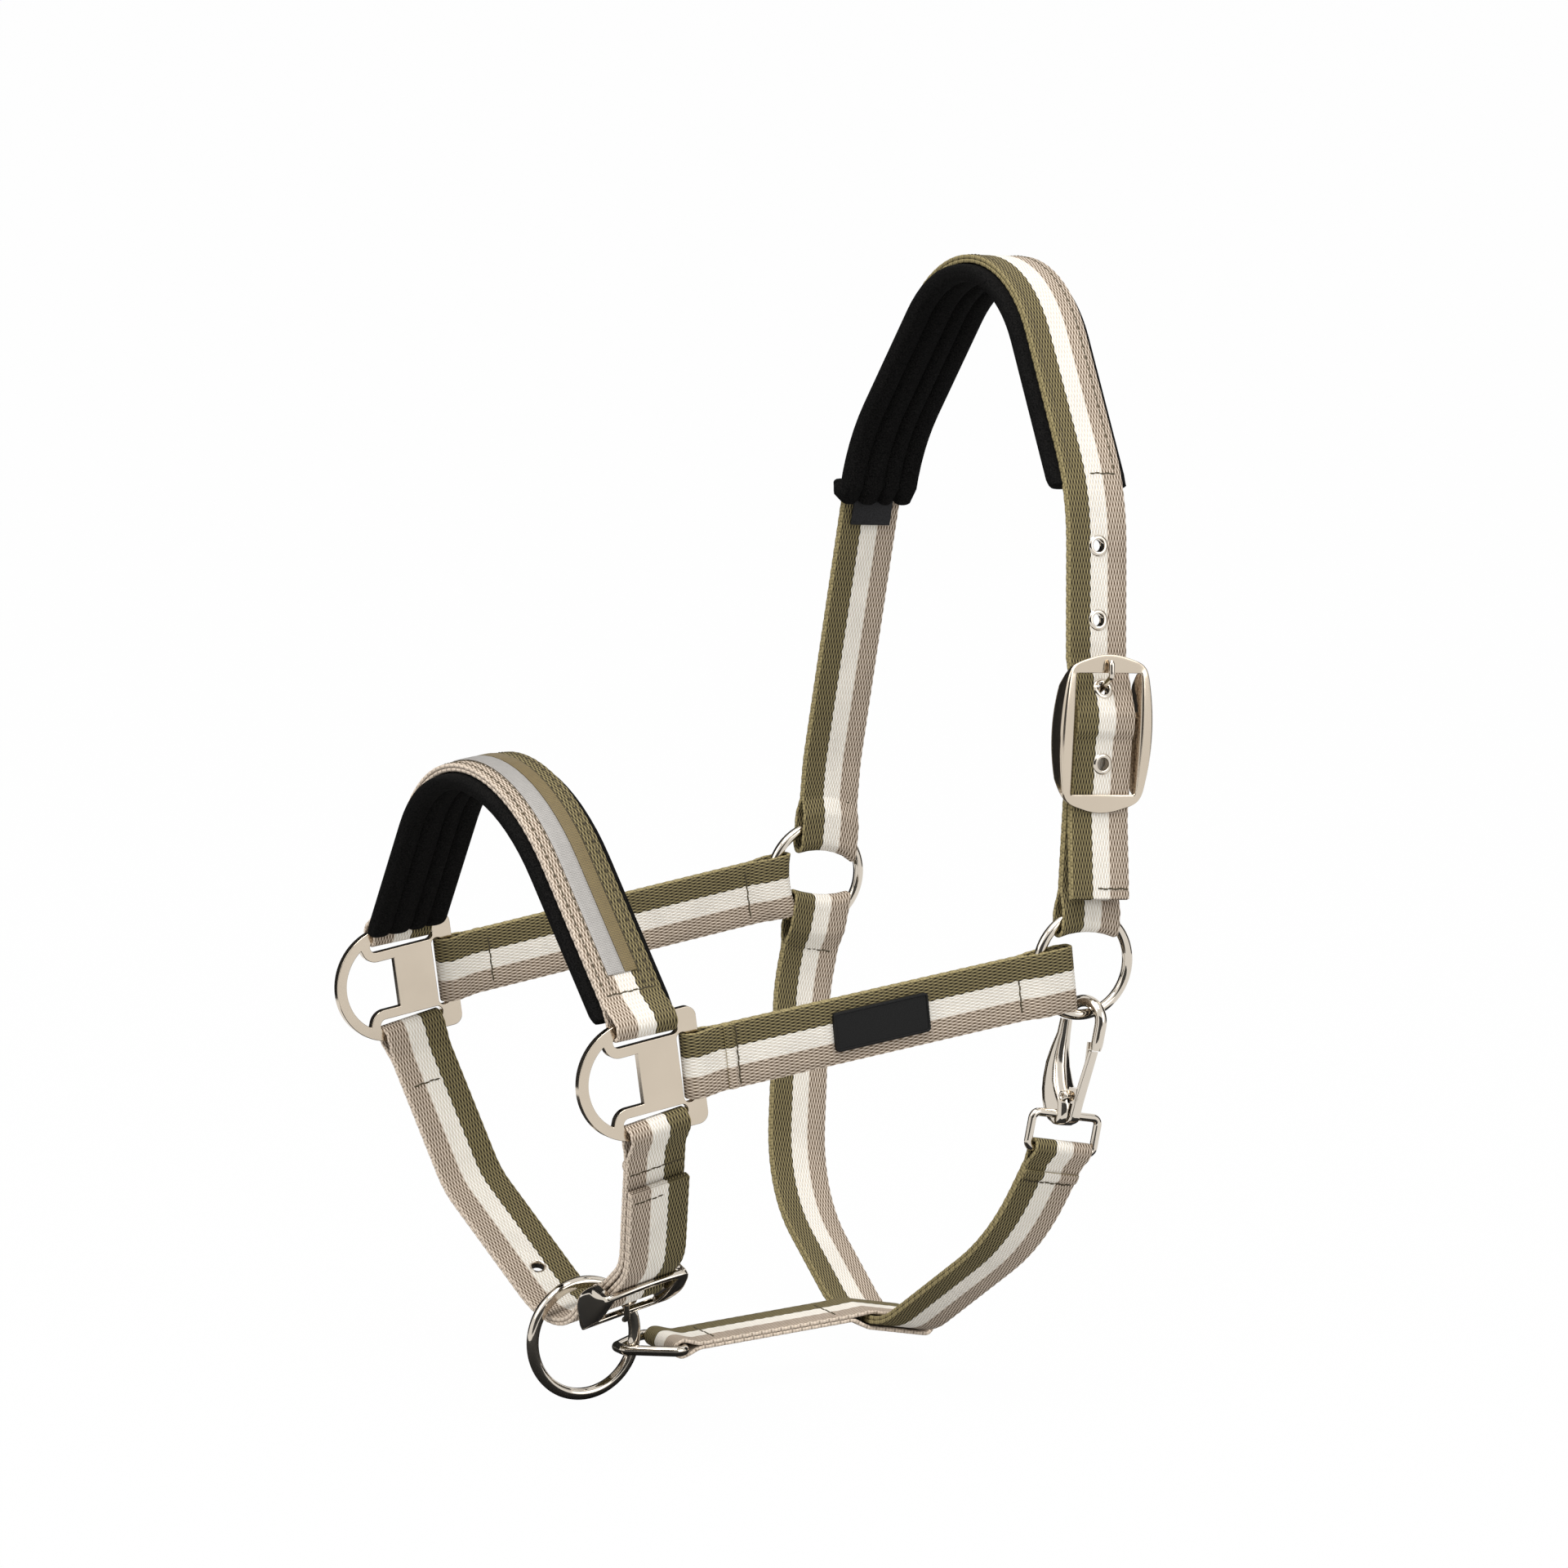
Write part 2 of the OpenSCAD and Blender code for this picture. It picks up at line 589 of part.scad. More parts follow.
function cheek_dir(ring_c, drop) = unit([ring_c[1], ring_c[2] - drop] - rear_bar_c);
function cheek_len(ring_c, drop) = norm([ring_c[1], ring_c[2] - drop] - rear_bar_c) - ring_r;
module along_cheek(side, ring_c, drop) {
    dir = cheek_dir(ring_c, drop);
    translate([side * half_span, rear_bar_c[0], rear_bar_c[1]]) rotate([bearing(dir), 0, 0]) children();
}
module cheek_strap(side, ring_c, drop) color(olive) along_cheek(side, ring_c, drop)
    strap([[0, 0], [0, cheek_len(ring_c, drop)]], [], plate_loop, ring_loop(drop, 0));
module near_cheek_strap() cheek_strap(1, near_ring_c, near_cheek_drop);
module off_cheek_strap() cheek_strap(-1, off_ring_c, off_cheek_drop);
module cheek_badge() color(black) along_cheek(1, near_ring_c, near_cheek_drop)
    translate([layer_t + badge_t / 2 + lay_gap / 3, badge_at, 0]) rotate([0, 90, 0])
        linear_extrude(badge_t, center = true) rounded_box(badge_h, badge_len, 1.5);

// Noseband, in its own plane with the top bars at height 0

nose_slope = atan2(nose_peak, half_span);
nose_r = (nose_peak - nose_rise) / (1 / cos(nose_slope) - 1);
module nose_plane() stand([0, top_bar_c[0], top_bar_c[1]], nose_tilt) children();
nose_off = [-half_span, 0];
nose_top = [0, nose_peak];
nose_leg = unit(nose_top - nose_off);

module noseband_strap() color(cream) nose_plane()
    strap([nose_off, nose_top, [half_span, 0]], [nose_r], plate_loop, plate_loop);

// A band that lies along the noseband between two sideways distances and starts a height over the bars
module nose_band(clear, width, inner, outer) {
    start = nose_off + clear / nose_leg[1] * nose_leg;
    way = route([start, nose_top, [-start[0], start[1]]], [nose_r]);
    linear_extrude(width, center = true) band(way, inner, outer);
}
module noseband_pad() color(black) nose_plane()
    nose_band(nose_pad_clear, web_w + 2 * pad_margin, -layer_t - lay_gap - nose_pad_t, -layer_t - lay_gap);
ribbon_in = layer_t + lay_gap / 3;
ribbon_ahead = 1.6;
module noseband_ribbon() color(silver) nose_plane() translate([0, 0, ribbon_ahead])
    nose_band(ribbon_clear, ribbon_w, ribbon_in, ribbon_in + ribbon_t);
trim_ahead = ribbon_ahead - (ribbon_w + trim_w) / 2 - lay_gap / 3;
module noseband_trim() color(gold) nose_plane() translate([0, 0, trim_ahead])
    nose_band(ribbon_clear, trim_w, ribbon_in, ribbon_in + ribbon_t);

// Chin strap, in its own plane with the bottom bars at height 0

module chin_plane() stand([0, bottom_bar_c[0], bottom_bar_c[1]], chin_tilt) children();
chin_off_bend = [-chin_bend_x, -chin_bend_drop];
chin_near_bend = [chin_bend_x, -chin_bend_drop];
chin_low = [0, -chin_depth];
chin_leg = unit(chin_low - chin_near_bend);
chin_upper = unit(chin_near_bend - [half_span, 0]);
chin_bar_at = chin_near_bend + chin_buckle_at * chin_leg;
chin_frame = [chin_bar_at, chin_leg, left(chin_leg)];
chin_side_r = 30;
chin_turn = corner(chin_off_bend, chin_low, buckle_point(chin_frame, weave[0]), chin_r);
chin_mid = min([for (p = chin_turn) p[1]]);
chin_tail_bend = moved_corner(chin_bar_at, chin_near_bend, [half_span, 0], -tail_y);
chin_points = concat([[-half_span, 0], chin_off_bend, chin_low],
    [for (q = weave) buckle_point(chin_frame, q)],
    [chin_tail_bend, chin_tail_bend - chin_tail * chin_upper]);
chin_bends = concat([chin_side_r, chin_r], weave_bends, [chin_side_r + tail_y]);
chin_off_leg = unit(chin_low - chin_off_bend);
chin_spots = [
    [buckle_point(chin_frame, eyelet_spot(chin_size)),
        left(unit(buckle_point(chin_frame, weave[0]) - buckle_point(chin_frame, weave[1])))],
    [buckle_point(chin_frame, [eyelet_flange + lay_gap - chin_tail_in, tail_y]), chin_frame[2]],
    [chin_low - eyelet_pitch * 1.25 * chin_off_leg, -left(chin_off_leg)]
];

module chin_strap() color(cream) chin_plane() difference() {
    strap(chin_points, chin_bends, plate_loop, []);
    at_eyelets(chin_spots) eyelet_hole();
}
module chin_eyelets() color(nickel) chin_plane() at_eyelets(chin_spots) eyelet();
module chin_chape() color(cream) chin_plane() difference() {
    strap([[half_span, 0], chin_near_bend, chin_bar_at], [chin_side_r], plate_loop, [bar_r, bar_slack / 5]);
    at_buckle(chin_frame) tongue_slot();
}
module chin_buckle() color(nickel) chin_plane() at_buckle(chin_frame) buckle_frame(chin_size);
module chin_tongue() color(nickel) chin_plane() at_buckle(chin_frame) tongue(chin_size);

// The chin ring hangs on both edges of the strap's lowest stretch
chin_ring_in = chin_ring_r - chin_ring_wire / 2;
chin_hang = sqrt(pow(chin_ring_in - lay_gap, 2) - web_half * web_half) - layer_t;
chin_ring_v = chin_mid - chin_hang;
chin_ring_c = [0,
    bottom_bar_c[0] - chin_ring_v * sin(chin_tilt),
    bottom_bar_c[1] + chin_ring_v * cos(chin_tilt)];
module chin_ring() color(nickel) translate(chin_ring_c) wire_ring(chin_ring_r, chin_ring_wire);

// Triangular link through the chin ring, with its base bar along X in the jaw strap's front loop

link_drop = 6;
link_tip_y = chin_ring_c[1] + sqrt(chin_ring_r * chin_ring_r - link_drop * link_drop)
    - chin_ring_wire / 2 - link_play - link_wire / 2;
link_bar_y = link_tip_y + link_depth;
link_z = chin_ring_c[2] - link_drop;

// Closed loop of round wire through corners in the XY plane
module wire_loop(corners, wire) {
    for (i = [0 : len(corners) - 1]) bar_between(corners[i], corners[(i + 1) % len(corners)], wire / 2);
    for (c = corners) ball_at(c, wire / 2);
}

// Round bar between two points of the XY plane, and a ball a little wider than the bar for its ends
module bar_between(p, q, r) translate([p[0], p[1], 0]) rotate([0, 0, bearing(q - p)]) rotate([0, 90, 0])
    cylinder(h = norm(q - p), r = r);
module ball_at(p, r) translate([p[0], p[1], 0]) sphere(r * knuckle);
knuckle = 1.1;
link_half = link_base / 2 + link_wire / 2;
link_shoulder = link_wire / 2 + loop_gap + layer_t + bar_slack + lay_gap;
link_side = [[link_tip / 2, -link_depth], [link_half, -link_shoulder], [link_half, link_wire / 2]];
link_bend = 3;
module jaw_link() color(nickel) translate([0, link_bar_y, link_z]) {
    way = route(concat(mirrored(link_side), link_side), [for (i = [1 : 4]) link_bend]);
    linear_extrude(link_wire - 0.2, center = true) band(way, -link_wire / 2, link_wire / 2);
    rotate([0, 90, 0]) cylinder(h = 2 * link_half, r = link_wire / 2, center = true);
}

// Throat strap, in its own plane with the off ring's centre at [0, 0]

throat_back = [-cos(throat_tilt) * sin(throat_yaw), cos(throat_tilt) * cos(throat_yaw), -sin(throat_tilt)];
throat_at = off_ring_c + throat_set * throat_back;
module throat_plane() stand(throat_at, -throat_tilt, throat_yaw) children();
throat_across = [cos(throat_yaw), sin(throat_yaw), 0];
throat_up = [-sin(throat_tilt) * sin(throat_yaw), sin(throat_tilt) * cos(throat_yaw), cos(throat_tilt)];
// The near ring seen in the throat strap's plane, and the bottom of its wire there
near_from_throat = near_ring_c - throat_at;
throat_span = near_from_throat * throat_across;
near_aside = near_from_throat * throat_back;
near_wire_v = near_from_throat * throat_up - sqrt(ring_r * ring_r - near_aside * near_aside);
throat_mid_x = throat_span / 2;
throat_off_bend = [throat_bend_x, -throat_bend_drop];
throat_low_off = [throat_mid_x - throat_flat / 2, -throat_drop];
throat_low_near = [throat_mid_x + throat_flat / 2, -throat_drop];
throat_near_bend = [throat_span - throat_near_in, -throat_drop + throat_near_rise];
eye_bar_at = [throat_span, near_wire_v - snap_reach];
eye_low_at = eye_bar_at - [0, eye_h + eye_wire];
throat_start = [0, -ring_r];
throat_points = [throat_start, throat_start - [0, ring_leg], throat_off_bend,
    throat_low_off, throat_low_near, throat_near_bend, eye_low_at];
throat_side_r = 28;
throat_low_r = 30;
throat_bends = [leg_r, throat_side_r, throat_low_r, throat_low_r, shoulder_r];
throat_ease = web_half * sin(throat_yaw);
module throat_strap() color(olive) difference() {
    throat_plane()
        strap(throat_points, throat_bends, ring_loop(throat_set, throat_ease), [eye_wire / 2, bar_slack]);
    // Room for the off cheek strap's loop beside the throat strap's own
    along_cheek(-1, off_ring_c, off_cheek_drop)
        translate([-10, cheek_len(off_ring_c, off_cheek_drop) - 20, -web_half - 2 * lay_gap])
            cube([20, 20 + ring_slack(off_cheek_drop) + ring_wire / 2 + loop_gap + layer_t + lay_gap,
                web_w + 4 * lay_gap]);
}

// Jaw strap from the link back to a flat loop round the throat strap's lowest stretch

function in_throat(p) = throat_at + p[0] * throat_across + p[1] * throat_up;
throat_low_c = in_throat([throat_mid_x, -throat_drop]);
jaw_end = [throat_low_c[1], throat_low_c[2]];
jaw_loop_l = web_w + 2 * loop_gap + 2;
jaw_loop_h = web_t + 2 * loop_gap + web_w * sin(throat_yaw);
module jaw_strap() color(olive) rotate([90, 0, 90]) {
    front = [link_bar_y, link_z];
    mouth = jaw_end - (jaw_loop_l + jaw_loop_h + layer_t) / 2 * heading(-throat_tilt);
    difference() {
        union() {
            strap([front, mouth], [], [link_wire / 2, bar_slack], []);
            translate([jaw_end[0], jaw_end[1], 0]) rotate([0, 0, -throat_tilt])
                linear_extrude(web_w - 0.2, center = true)
                    pill(jaw_loop_l + jaw_loop_h + web_t, jaw_loop_h + web_t);
        }
        translate([jaw_end[0], jaw_end[1], 0]) rotate([0, 0, -throat_tilt])
            linear_extrude(2 * web_w, center = true) pill(jaw_loop_l + jaw_loop_h, jaw_loop_h);
    }
}

// Snap, in the throat strap's plane with its eye bar at [0, 0]

module snap_plane() throat_plane() translate([eye_bar_at[0], eye_bar_at[1], 0]) children();
eye_half = eye_w / 2 + eye_wire / 2;
eye_drop = eye_h + eye_wire;
module snap_eye() color(nickel) snap_plane() rotate([0, 90, 0])
    wire_loop([[-eye_half, 0], [-eye_half, -eye_drop], [eye_half, -eye_drop], [eye_half, 0]], eye_wire);

hook_c = [0, snap_reach + ring_wire / 2 + lay_gap - hook_r + hook_wire_r];
hook_tip = 9.5;
base_r = eye_wire / 2 + gate_play + 2;
base_top = 11;
base_chamfer = [2, 3];
rivet_at = [0.6, 7.4];
spring_r = 2.6;
spring_l = 1.8;
hook_near = hook_c + [hook_r, 0];
hook_far = hook_c - [hook_r, 0];
tip_end = hook_near - [0, hook_tip];
shank_top = hook_far - [0, 6];
shank_low = [-3.2, base_top - 2];

module at_rivet() snap_plane() translate([rivet_at[0], rivet_at[1], 0]) children();

module snap_body() color(nickel) difference() {
    snap_plane() {
        translate([hook_c[0], hook_c[1], 0]) rotate_extrude(angle = 180)
            translate([hook_r, 0]) circle(hook_wire_r);
        bar_between(hook_near, tip_end, hook_wire_r);
        bar_between(hook_far, shank_top, hook_wire_r);
        bar_between(shank_top, shank_low, hook_wire_r);
        for (p = [hook_near, tip_end, hook_far, shank_top, shank_low]) ball_at(p, hook_wire_r);
        linear_extrude(base_t, center = true) {
            circle(base_r);
            polygon([[-base_r, 0], [base_r, 0], [base_r, base_top - base_chamfer[1]],
                [base_r - base_chamfer[0], base_top], [-base_r, base_top]]);
        }
    }
    snap_plane() cylinder(h = 2 * base_t, r = eye_wire / 2 + gate_play, center = true);
    at_rivet() {
        pocket_r = spring_r + lay_gap;
        pocket_l = spring_l + 2 * lay_gap;
        cylinder(h = 2 * base_t, r = rivet_r + gate_play, center = true);
        cylinder(h = pocket_l, r = pocket_r, center = true);
        translate([0, -pocket_r, -pocket_l / 2]) cube([base_r + 2, 2 * pocket_r, pocket_l]);
    }
}

// Gate of folded sheet: two cheeks on the rivet, and a web that closes inside the hook's tip
gate_half = base_t / 2 + gate_play + 0.12;
gate_bottom = 3.6;
gate_eye = rivet_r + 1.3;
gate_web = 1.4;
gate_neck = 3.2;
gate_lip = 5;
web_low = [base_r + 0.6 + gate_web, gate_bottom + 1];
web_top = [tip_end[0] - hook_wire_r - lay_gap, tip_end[1] + gate_lip / 2];
web_knee = [web_top[0], tip_end[1] - gate_lip];
module gate_cheek() linear_extrude(gate_t) difference() {
    left_x = rivet_at[0] - gate_eye;
    polygon([[left_x, gate_bottom + 2], [rivet_at[0], gate_bottom], web_low, web_knee,
        web_knee - [gate_neck, 0], [left_x, rivet_at[1] + gate_eye]]);
    translate(rivet_at) circle(rivet_r + gate_play);
}
module snap_gate() color(nickel) snap_plane() {
    inwards = [gate_web, 0];
    translate([0, 0, gate_half]) gate_cheek();
    translate([0, 0, -gate_half - gate_t]) gate_cheek();
    linear_extrude(2 * gate_half + gate_t / 5, center = true)
        polygon([web_low - inwards, web_low, web_knee, web_top, web_top - inwards, web_knee - inwards]);
}
module snap_spring() color(silver) at_rivet() difference() {
    cylinder(h = spring_l, r = spring_r, center = true);
    cylinder(h = 2 * spring_l, r = rivet_r + lay_gap, center = true);
}
module snap_rivet() color(nickel) at_rivet() {
    head_t = 1.2;
    span = 2 * (gate_half + gate_t + gate_play);
    cylinder(h = span + head_t, r = rivet_r, center = true);
    for (z = [-1, 1]) translate([0, 0, z * (span + head_t) / 2])
        cylinder(h = head_t, r = rivet_r + 1, center = true);
}

crown_strap();
crown_pad();
crown_label();
crown_eyelets();
buckle_chape();
crown_buckle();
crown_tongue();
near_ring();
off_ring();
near_cheek_strap();
off_cheek_strap();
cheek_badge();
near_plate();
off_plate();
noseband_strap();
noseband_pad();
noseband_ribbon();
noseband_trim();
chin_strap();
chin_chape();
chin_eyelets();
chin_buckle();
chin_tongue();
chin_ring();
jaw_link();
jaw_strap();
throat_strap();
snap_eye();
snap_body();
snap_gate();
snap_spring();
snap_rivet();
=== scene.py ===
import cmath
from math import asin, atan2, ceil, cos, degrees, hypot, pi, radians, sin, sqrt, tan

import bmesh
import bpy
from mathutils import Matrix, Vector

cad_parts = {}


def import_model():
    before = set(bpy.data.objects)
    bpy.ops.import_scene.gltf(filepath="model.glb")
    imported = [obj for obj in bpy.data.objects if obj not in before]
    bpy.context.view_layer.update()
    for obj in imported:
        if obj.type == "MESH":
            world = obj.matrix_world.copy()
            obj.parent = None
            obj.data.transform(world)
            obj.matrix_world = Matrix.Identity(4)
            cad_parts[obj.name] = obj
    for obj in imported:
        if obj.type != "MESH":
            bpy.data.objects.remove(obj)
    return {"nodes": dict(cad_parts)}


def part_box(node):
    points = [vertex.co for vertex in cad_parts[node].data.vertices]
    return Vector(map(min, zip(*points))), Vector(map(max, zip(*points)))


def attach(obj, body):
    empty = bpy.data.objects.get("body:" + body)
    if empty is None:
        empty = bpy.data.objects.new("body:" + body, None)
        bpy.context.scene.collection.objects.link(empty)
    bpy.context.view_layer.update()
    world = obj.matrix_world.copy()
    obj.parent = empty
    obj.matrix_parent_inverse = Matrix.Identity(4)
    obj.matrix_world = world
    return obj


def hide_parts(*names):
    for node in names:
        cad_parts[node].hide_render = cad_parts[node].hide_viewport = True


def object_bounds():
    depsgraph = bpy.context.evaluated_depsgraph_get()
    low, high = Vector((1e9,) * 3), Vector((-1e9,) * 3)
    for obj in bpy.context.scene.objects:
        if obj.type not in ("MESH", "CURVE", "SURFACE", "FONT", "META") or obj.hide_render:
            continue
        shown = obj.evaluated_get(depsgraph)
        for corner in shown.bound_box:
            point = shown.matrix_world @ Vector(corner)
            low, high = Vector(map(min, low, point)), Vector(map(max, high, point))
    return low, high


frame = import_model()
cad_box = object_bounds()
scene = bpy.context.scene

AZIMUTH, ELEVATION, DISTANCE, FOCAL, SENSOR = 61.5, 10.25, 3.45, 207, 36
aim = Vector((0, -0.0945, -0.187))


def added(name, data):
    obj = bpy.data.objects.new(name, data)
    scene.collection.objects.link(obj)
    return obj


def way_out(azimuth, elevation):
    """A direction away from the object: azimuth 0 is its front and 90 its near side."""
    a, e = radians(azimuth), radians(elevation)
    return Vector((sin(a) * cos(e), -cos(a) * cos(e), sin(e)))


def stood_off(obj, azimuth, elevation, distance):
    """Puts a camera or lamp out from the object, looking back at it."""
    out = way_out(azimuth, elevation)
    obj.location = aim + distance * out
    obj.rotation_mode = "QUATERNION"
    obj.rotation_quaternion = out.to_track_quat("Z", "Y")


camera = added("camera", bpy.data.cameras.new("camera"))
stood_off(camera, AZIMUTH, ELEVATION, DISTANCE)
camera.data.lens, camera.data.sensor_width = FOCAL, SENSOR
scene.camera = camera

# Sizes in millimetres, as in the part's source

WEB_W = 25
LAYER = 1.6
LAY_GAP = 0.3
LOOP_GAP = 0.35
TAPER = 3
BAR_SLACK = 0.5
WEB_T = 2 * LAYER
WEB_HALF = WEB_W / 2
HALF_SPAN = 102
WEAVE_ROW = 4.24
WEAVE_COLUMN = 0.62
PACE = WEAVE_ROW / 6
WELD = 1e-4
MM = 0.001


# Flat geometry, with a point of a plane as one complex number

def unit(z):
    return z / abs(z)


def heading(angle):
    return cmath.rect(1, radians(angle))


def bearing(z):
    return degrees(cmath.phase(z))


def mirrored(points):
    """The points on the other side of the upright axis, in the order that carries on from them."""
    return [complex(-p.real, p.imag) for p in reversed(points)]


def arc(centre, r, start, stop, step=5):
    n = max(2, ceil(abs(stop - start) / step))
    return [centre + r * heading(start + (stop - start) * i / n) for i in range(n + 1)]


def corner(a, b, c, r):
    """The corner at b, between a and c, rounded to a radius."""
    into, out = unit(b - a), unit(c - b)
    bend = bearing(out / into)
    if abs(bend) < 0.01:
        return [b]
    start = b - r * tan(radians(abs(bend) / 2)) * into
    centre = start + (r if bend > 0 else -r) * 1j * into
    first = bearing(start - centre)
    return arc(centre, r, first, first + bend)


def route(points, bends):
    """A path through points, with each inner corner rounded to its bend."""
    inner = [q for i, r in enumerate(bends) for q in corner(*points[i:i + 3], r)]
    return points[:1] + inner + points[-1:]


def closed_route(points, bends):
    around = points[-1:] + points + points[:1]
    return [q for i, r in enumerate(bends) for q in corner(*around[i:i + 3], r)]


def beside(path, d):
    """The same path moved to its left."""
    last = len(path) - 1
    return [p + d * 1j * unit(path[min(i + 1, last)] - path[max(i - 1, 0)]) for i, p in enumerate(path)]


def moved_corner(a, b, c, d):
    """Where the corner at b lies when both its sides move to their left."""
    m, n = 1j * unit(b - a), 1j * unit(c - b)
    return b + d * (m + n) / (1 + (m * n.conjugate()).real)


def length_of(path):
    return sum(abs(b - a) for a, b in zip(path, path[1:]))


def paced(path, pace, closed=False, multiple=1):
    """The same path with its points an equal step apart."""
    line = path + path[:1] if closed else path
    steps = max(multiple, round(length_of(line) / pace / multiple) * multiple)
    step = length_of(line) / steps
    points, walked, i = [line[0]], 0.0, 0
    for k in range(1, steps + (0 if closed else 1)):
        goal = min(k * step, length_of(line) - 1e-9)
        while walked + abs(line[i + 1] - line[i]) < goal:
            walked += abs(line[i + 1] - line[i])
            i += 1
        points.append(line[i] + unit(line[i + 1] - line[i]) * (goal - walked))
    return points


def eased(path, passes):
    """A closed path with its turns softened."""
    for _ in range(passes):
        path = [(path[i - 1] + 2 * p + path[(i + 1) % len(path)]) / 4 for i, p in enumerate(path)]
    return path


def flat(point):
    return Vector((point.real, point.imag, 0))


# Planes that the straps lie in

def stand(at, tilt, yaw=0):
    """An upright plane, X towards the near side and Y up, tipped by tilt and turned by yaw."""
    turn = Matrix.Rotation(radians(yaw), 4, "Z") @ Matrix.Rotation(radians(90 + tilt), 4, "X")
    return Matrix.Translation(at) @ turn


def stations(path, plane, closed=False):
    """Frames along a flat path: X to its left, Y across the plane, Z along the path."""
    last = len(path) - 1
    frames = []
    for i, p in enumerate(path):
        ahead = path[(i + 1) % len(path)] if closed else path[min(i + 1, last)]
        behind = path[i - 1] if closed else path[max(i - 1, 0)]
        along = unit(ahead - behind)
        side = 1j * along
        frames.append(plane @ Matrix(((side.real, 0, along.real, p.real), (side.imag, 0, along.imag, p.imag),
                                      (0, 1, 0, 0), (0, 0, 0, 1))))
    return frames


# Making pieces

def skin(bm, rings, closed=False, across=None, pace=PACE):
    """Bends a grid over a run of rings of points; closed joins the last to the first, else both ends are filled.

    across gives each point of a ring its place over the width of the webbing, for the weave's UV map."""
    uv = bm.loops.layers.uv.get("weave") or bm.loops.layers.uv.new("weave")
    columns, rows = len(rings[0]), len(rings) - (0 if closed else 1)
    verts = bmesh.ops.create_grid(bm, x_segments=columns, y_segments=rows, size=1)["verts"]
    spot = {v: (round((v.co.x + 1) / 2 * columns), round((v.co.y + 1) / 2 * rows)) for v in verts}
    if across:
        for face in {f for v in verts for f in v.link_faces}:
            for loop in face.loops:
                i, j = spot[loop.vert]
                loop[uv].uv = (across[i % columns], j * pace / WEB_W)
    for v, (i, j) in spot.items():
        v.co = rings[j % len(rings)][i % columns]
    bmesh.ops.remove_doubles(bm, verts=verts, dist=WELD)
    if not closed:
        bmesh.ops.edgeloop_fill(bm, edges=[e for e in bm.edges if e.is_boundary])


def sweep(bm, section, frames, closed=False, green=1, pace=PACE):
    """Carries a closed section along a run of frames."""
    rings = [[f @ Vector((x, y, 0)) for x, y in section] for f in frames]
    skin(bm, rings, closed, [0.5 - green * y / WEB_W for _, y in section], pace)


def tapered(frames, shares, start=True):
    """Frames with the last few, and the first few too, drawn in by shares of their thickness and width."""
    for k, (thick, wide) in enumerate(shares):
        for j in (k, -1 - k) if start else (-1 - k,):
            frames[j] = frames[j] @ Matrix.Diagonal((thick, wide, 1, 1))
    return frames


def spun(bm, place, profile, steps):
    """Turns a closed profile of (radius, height) once round the Z of its place."""
    verts = [bm.verts.new(place @ Vector((r, 0, z))) for r, z in profile]
    edges = [bm.edges.new((verts[i - 1], verts[i])) for i in range(len(verts))]
    bmesh.ops.spin(bm, geom=verts + edges, cent=place.translation, axis=place.col[2].xyz, angle=2 * pi, steps=steps,
                   use_merge=True)
    bmesh.ops.remove_doubles(bm, verts=bm.verts[:], dist=WELD)


def rod(bm, place, r, length, sides=24):
    bmesh.ops.create_cone(bm, cap_ends=True, segments=sides, radius1=r, radius2=r, depth=length, matrix=place)


def block(bm, place, *size):
    bmesh.ops.create_cube(bm, size=1, matrix=place @ Matrix.Diagonal((*size, 1)))


def mesh_from(bm, name):
    mesh = bpy.data.meshes.new(name)
    bm.to_mesh(mesh)
    bm.free()
    return mesh


def piece(bm, name, finish, body, node, sharp=None):
    """A finished piece, in metres, on its body and in place of its CAD node."""
    bmesh.ops.recalc_face_normals(bm, faces=bm.faces[:])
    bmesh.ops.scale(bm, vec=(MM, MM, MM), verts=bm.verts[:])
    for face in bm.faces:
        face.smooth = True
    mesh = mesh_from(bm, name)
    if sharp:
        mesh.set_sharp_from_angle(angle=radians(sharp))
    obj = added(name, mesh)
    mesh.materials.append(finish)
    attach(obj, body)
    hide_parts(node)
    return obj


def even_flats(obj):
    """Shades broad flat faces evenly up to their edges."""
    even = obj.modifiers.new("even_flats", "WEIGHTED_NORMAL")
    even.weight, even.keep_sharp = 100, True
    return obj


def cut_away(obj, bm):
    """Takes the shapes in bm out of a piece."""
    bmesh.ops.scale(bm, vec=(MM, MM, MM), verts=bm.verts[:])
    tool = added("cutter", mesh_from(bm, "cutter"))
    cut = obj.modifiers.new("cut", "BOOLEAN")
    cut.object, cut.operation, cut.solver = tool, "DIFFERENCE", "EXACT"
    after = bpy.data.meshes.new_from_object(obj.evaluated_get(bpy.context.evaluated_depsgraph_get()))
    obj.modifiers.clear()
    obj.data = after
    bpy.data.objects.remove(tool)


def round_section(r, sides=16):
    return [(r * cos(2 * pi * i / sides), r * sin(2 * pi * i / sides)) for i in range(sides)]


def soft_box(half_x, half_y, power=4, sides=24):
    """A section like a box with well rounded corners."""
    points = []
    for i in range(sides):
        c, s = cos(2 * pi * (i + 0.5) / sides), sin(2 * pi * (i + 0.5) / sides)
        reach = (abs(c) ** power + abs(s) ** power) ** (-1 / power)
        points.append((half_x * c * reach, half_y * s * reach))
    return points


# Materials

def tint(r, g, b):
    """A colour given as it shows on screen."""
    return tuple((c / 255 / 12.92) if c < 11 else ((c / 255 + 0.055) / 1.055) ** 2.4 for c in (r, g, b)) + (1,)


def grey(level):
    return (level, level, level, 1)


